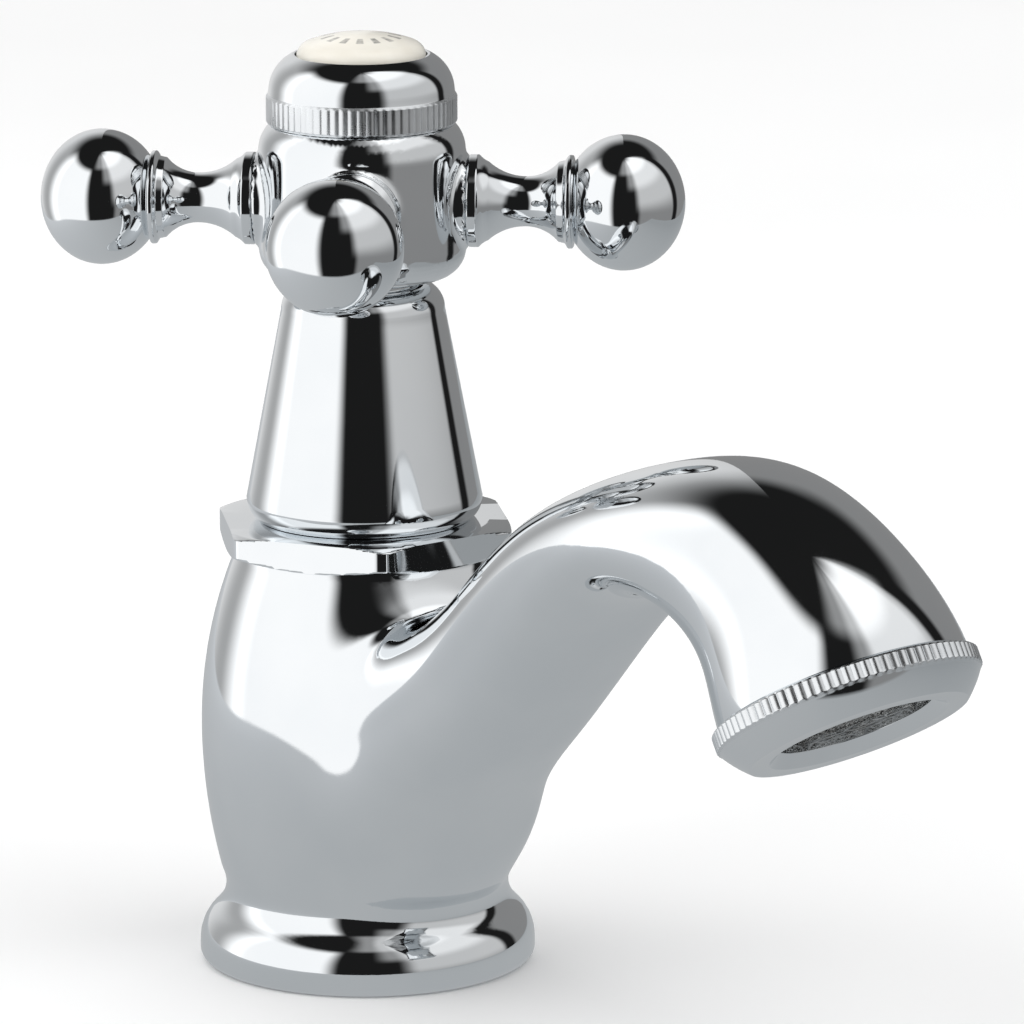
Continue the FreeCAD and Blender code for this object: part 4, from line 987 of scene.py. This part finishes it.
# ---- aerator
def build_aerator_ring():
    """Ribbed ring in the spout's mouth."""
    radius, band, edge, knurl_inside, rib_count, rib_depth = 17.8, 2.7, 0.35, 17.2, 86, 0.25
    nose_end, nose_radius, nose_curve = -band - 3.26, 14.67, 16.0
    inside, spigot, spigot_end, gap = 11.52, 13.82, 6.4, 0.06
    ledge, ledge_depth, lip, lip_inside, lip_curve = 10.4, -2.6, 12.0, 1.6, 30.0
    outline = [(inside, spigot_end), (inside, ledge_depth), (ledge, ledge_depth)]
    outline += [(ledge, nose_end + lip_inside), (lip, nose_end)]
    bow(outline, (nose_radius, nose_end), "left", 4, lip_curve)
    bow(outline, (radius - edge, -band), "right", 14, nose_curve)
    outline += [(radius, -band + edge)]
    outline += [(radius, -band + 0.5 + 0.25 * step) for step in range(7)]
    outline += [(radius, -edge), (radius - edge, -gap), (spigot, -gap), (spigot, spigot_end)]
    ripple = ribs(rib_count, rib_depth, -band + 0.1, 0.0, 17.0)
    part = placed(lathe(soften(outline, 0.14), rib_count * 6, ripple), outlet_matrix())
    made = make_object("mouth_knurled_ring", *part, CHROME)
    dull_knurl(made, MOUTH, OUTLET_AXIS, knurl_inside, -band, -0.2)
    finish_piece(made, "tap", "chrome_plate", "aerator_ring")


def tube(path, radius, sides=6):
    """Sweep a small circle along a path that stays near one plane."""
    path = np.array(path)
    ways = np.gradient(path, axis=0)
    ways /= np.linalg.norm(ways, axis=1)[:, None]
    across = np.cross(ways, (0, 0, 1))
    across /= np.linalg.norm(across, axis=1)[:, None]
    up = np.cross(across, ways)
    lines = [path + radius * (across * math.cos(turn) + up * math.sin(turn)) for turn in full_turn(sides)]
    rows = number_rows(len(path), sides)
    faces = [tuple(rows[0]), tuple(rows[-1][::-1])] + joined_rows(rows[::-1], closed=False)
    return np.stack(lines, axis=1).reshape(-1, 3), faces


def build_screen():
    """Woven wire screen in a pressed rim."""
    pitch, wire, weave, middle, reach = 0.92, 0.13, 0.15, -2.3, 10.95
    rim_outside, rim_inside, rim_low, rim_high = 11.4, 10.7, -2.6, -2.0
    parts = []
    lines = int(reach / pitch)
    for line in range(-lines, lines + 1):
        offset = line * pitch
        half = math.sqrt(reach**2 - offset**2)
        samples = np.linspace(-half, half, max(8, int(half * 2 / pitch * 6)))
        side = 1 if line % 2 else -1
        lift = side * weave * np.cos(math.pi * samples / pitch)
        flat = np.full(samples.shape, offset)
        parts.append(tube(np.stack([samples, flat, middle + lift], axis=1), wire))
        parts.append(tube(np.stack([flat, samples, middle - lift], axis=1), wire))
    rim = [(rim_inside, rim_low), (rim_outside, rim_low), (rim_outside, rim_high), (rim_inside, rim_high)]
    parts.append(lathe(soften(rim, 0.15), 96))
    made = make_object("woven_screen", *placed(merged(parts), outlet_matrix()), STAINLESS)
    finish_piece(made, "tap", "stainless", "aerator_screen")


# ---- studio
CAMERA_AZIMUTH = -37.6
CAMERA_ELEVATION = 12.6
CAMERA_DISTANCE = 1100.0
CAMERA_TARGET = (15.88, -12.23, 62.2)
CAMERA_ROLL = -0.2
CAMERA_LENS = 284.2


def camera_ways():
    """Return unit vectors to the camera, to the picture's right and, kept level, towards the camera."""
    azimuth, elevation = math.radians(CAMERA_AZIMUTH), math.radians(CAMERA_ELEVATION)
    flat = Vector((math.sin(azimuth), -math.cos(azimuth), 0))
    back = flat * math.cos(elevation) + Vector((0, 0, math.sin(elevation)))
    return back, Vector((-flat.y, flat.x, 0)), flat


def build_camera():
    """Long lens at the photograph's angle."""
    back, right, _ = camera_ways()
    up = back.cross(right)
    roll = math.radians(CAMERA_ROLL)
    across = right * math.cos(roll) + up * math.sin(roll)
    upward = up * math.cos(roll) - right * math.sin(roll)
    data = bpy.data.cameras.new("camera")
    data.sensor_width = 36.0
    data.lens = CAMERA_LENS
    data.clip_end = 50.0
    made = bpy.data.objects.new("camera", data)
    bpy.context.scene.collection.objects.link(made)
    turn = Matrix((across, upward, back)).transposed().to_4x4()
    place = (Vector(CAMERA_TARGET) + back * CAMERA_DISTANCE) * MM
    made.matrix_world = Matrix.Translation(place) @ turn
    bpy.context.scene.camera = made


def build_world():
    """Studio surroundings that the chrome reflects: two soft boxes, dark gaps and dimmer walls.

    Azimuths run from the camera's side of the tap to the picture's right, in degrees.
    """
    world = bpy.data.worlds.new("studio")
    bpy.context.scene.world = world
    world.use_nodes = True
    tree = world.node_tree
    _, right, flat = camera_ways()
    way = tree.nodes.new("ShaderNodeTexCoord").outputs["Generated"]
    turn = calculate(tree, "ARCTAN2", along(tree, way, right), along(tree, way, flat))
    azimuth = calculate(tree, "DEGREES", turn)
    elevation = calculate(tree, "DEGREES", calculate(tree, "ARCSINE", along(tree, way, (0, 0, 1))))

    def window(value, low, high, soft_low, soft_high):
        """1 between low and high, soft outside."""
        rise = ranged(tree, value, 0.0, 1.0, low - soft_low, low, "SMOOTHSTEP")
        fall = ranged(tree, value, 1.0, 0.0, high, high + soft_high, "SMOOTHSTEP")
        return calculate(tree, "MULTIPLY", rise, fall)

    def patch(azimuths, elevations, level):
        """Light of one level inside a window of azimuths and elevations."""
        inside = calculate(tree, "MULTIPLY", window(azimuth, *azimuths), window(elevation, *elevations))
        return calculate(tree, "MULTIPLY", inside, level)

    total = patch((-200, 200, 1, 1), (-95, 95, 1, 1), 0.012)
    patches = [
        ((-96, -33, 30, 14), (-60, 46, 1, 12), 1.1),
        ((38, 108, 10, 5), (-40, 80, 12, 10), 0.24),
        ((34, 106, 12, 6), (10, 78, 22, 12), 0.34),
        ((20, 100, 16, 8), (40, 76, 16, 12), 0.30),
        ((0, 110, 24, 10), (62, 78, 10, 12), 0.30),
        ((126, 200, 6, 1), (-60, 30, 10, 16), 0.24),
        ((-172, -106, 30, 16), (-60, 34, 1, 24), 0.42),
        ((-200, -158, 1, 30), (-60, 22, 10, 22), 0.32),
    ]
    for azimuths, elevations, level in patches:
        total = calculate(tree, "ADD", total, patch(azimuths, elevations, level))
    background = tree.nodes["Background"]
    tree.links.new(total, background.inputs["Color"])
    plain = tree.nodes.new("ShaderNodeBackground")
    plain.inputs["Color"].default_value = (1, 1, 1, 1)
    path = tree.nodes.new("ShaderNodeLightPath")
    mix = tree.nodes.new("ShaderNodeMixShader")
    tree.links.new(path.outputs["Is Camera Ray"], mix.inputs["Fac"])
    tree.links.new(background.outputs["Background"], mix.inputs[1])
    tree.links.new(plain.outputs["Background"], mix.inputs[2])
    tree.links.new(mix.outputs["Shader"], tree.nodes["World Output"].inputs["Surface"])


def build_floor():
    """Pale floor under the tap, left out of reflections so the bench's painted light shows instead."""
    radius, grey, pale = 6000.0, (0.93, 0.93, 0.93), (0.96, 0.96, 0.96)
    material, tree, shader = new_material("pale_floor")
    tone = ramp(tree, noise(tree, 6, 2.0), [(0.3, grey), (0.7, pale)])
    tree.links.new(tone, shader.inputs["Base Color"])
    tree.links.new(ranged(tree, noise(tree, 40, 2.0), 0.75, 0.9), shader.inputs["Roughness"])
    shader.inputs["Specular IOR Level"].default_value = 0.0
    ring = ring_points(radius, full_turn(96), 0.0)
    floor = make_object("floor", ring, [tuple(range(len(ring)))], material)
    floor.visible_glossy = False


def painted_bench_light_material():
    """Painted light: a glowing grey that stands in for a lit bench, painted paler towards the left as if the
    soft box on that side lit it, fading out past a rounded edge in front.
    """
    edge_start, edge_end, left_stretch, left_end, right_end = 0.172, 0.186, 0.72, -0.35, 0.26
    # Painted light: stops run from near white at the left to darker grey at the right, the fall of the left
    # soft box's light.
    painted_light_tones = [
        (0.0, (0.74, 0.76, 0.78)),
        (0.3, (0.56, 0.575, 0.59)),
        (0.55, (0.46, 0.475, 0.485)),
        (1.0, (0.33, 0.345, 0.355)),
    ]
    _, right, flat = camera_ways()
    material, tree, shader = new_material("painted_light_bench")
    place = tree.nodes.new("ShaderNodeTexCoord").outputs["Object"]
    to_right, to_front = along(tree, place, right), along(tree, place, flat)
    # Painted light: the bench glows though it is no lamp.
    glow = tree.nodes.new("ShaderNodeEmission")
    share = ranged(tree, to_right, 0.0, 1.0, left_end, right_end)
    tree.links.new(ramp(tree, share, painted_light_tones), glow.inputs["Color"])
    aside = calculate(tree, "MULTIPLY", calculate(tree, "MINIMUM", to_right, 0.0), left_stretch)
    away = flat_length(tree, aside, calculate(tree, "MAXIMUM", to_front, 0.0))
    clear = tree.nodes.new("ShaderNodeBsdfTransparent")
    mix = tree.nodes.new("ShaderNodeMixShader")
    tree.links.new(ranged(tree, away, 1.0, 0.0, edge_start, edge_end), mix.inputs["Fac"])
    tree.links.new(clear.outputs["BSDF"], mix.inputs[1])
    tree.links.new(glow.outputs["Emission"], mix.inputs[2])
    tree.nodes.remove(shader)
    tree.links.new(mix.outputs["Shader"], tree.nodes["Material Output"].inputs["Surface"])
    return material


def build_bench():
    """Grey bench top just under the floor that only reflections see; its glow is painted light in place of
    the lit floor.
    """
    left, to_right, back, front, down = -262.0, 320.0, -600.0, 190.0, Vector((0, 0, -0.3))
    _, right, flat = camera_ways()
    ends = ((left, back), (to_right, back), (to_right, front), (left, front))
    corners = [tuple(right * side + flat * ahead + down) for side, ahead in ends]
    bench = make_object("bench", corners, [(0, 1, 2, 3)], painted_bench_light_material())
    bench.visible_camera = False
    bench.visible_diffuse = False
    bench.visible_shadow = False


def build_lights():
    """Large soft panels overhead that lift the floor; the chrome doesn't see them."""
    size, height = 1.4, 1.2
    _, right, flat = camera_ways()
    for side, ahead, energy in ((-0.5, 0.3, 9.0), (0.7, 0.4, 6.0), (0.0, -0.9, 6.0)):
        data = bpy.data.lights.new("soft_panel", "AREA")
        data.shape = "SQUARE"
        data.size = size
        data.energy = energy
        made = bpy.data.objects.new("soft_panel", data)
        place = right * side + flat * ahead + Vector((0, 0, height))
        made.matrix_world = Matrix.Translation(place) @ place.to_track_quat("Z", "Y").to_matrix().to_4x4()
        made.visible_glossy = False
        bpy.context.scene.collection.objects.link(made)


# ---- the whole scene
for subpart in frame["record"]["subparts"]:
    node_mesh = frame["nodes"][subpart["node"]].data
    node_mesh.materials.clear()
    node_mesh.materials.append(MATERIALS[subpart["material_slot"]])

build_camera()
build_world()
build_floor()
build_bench()
build_lights()
build_casting()
build_shroud()
build_hub()
build_arms()
build_index_disc(build_cap_ring())
build_aerator_ring()
build_screen()

bpy.context.scene.view_settings.view_transform = "Standard"
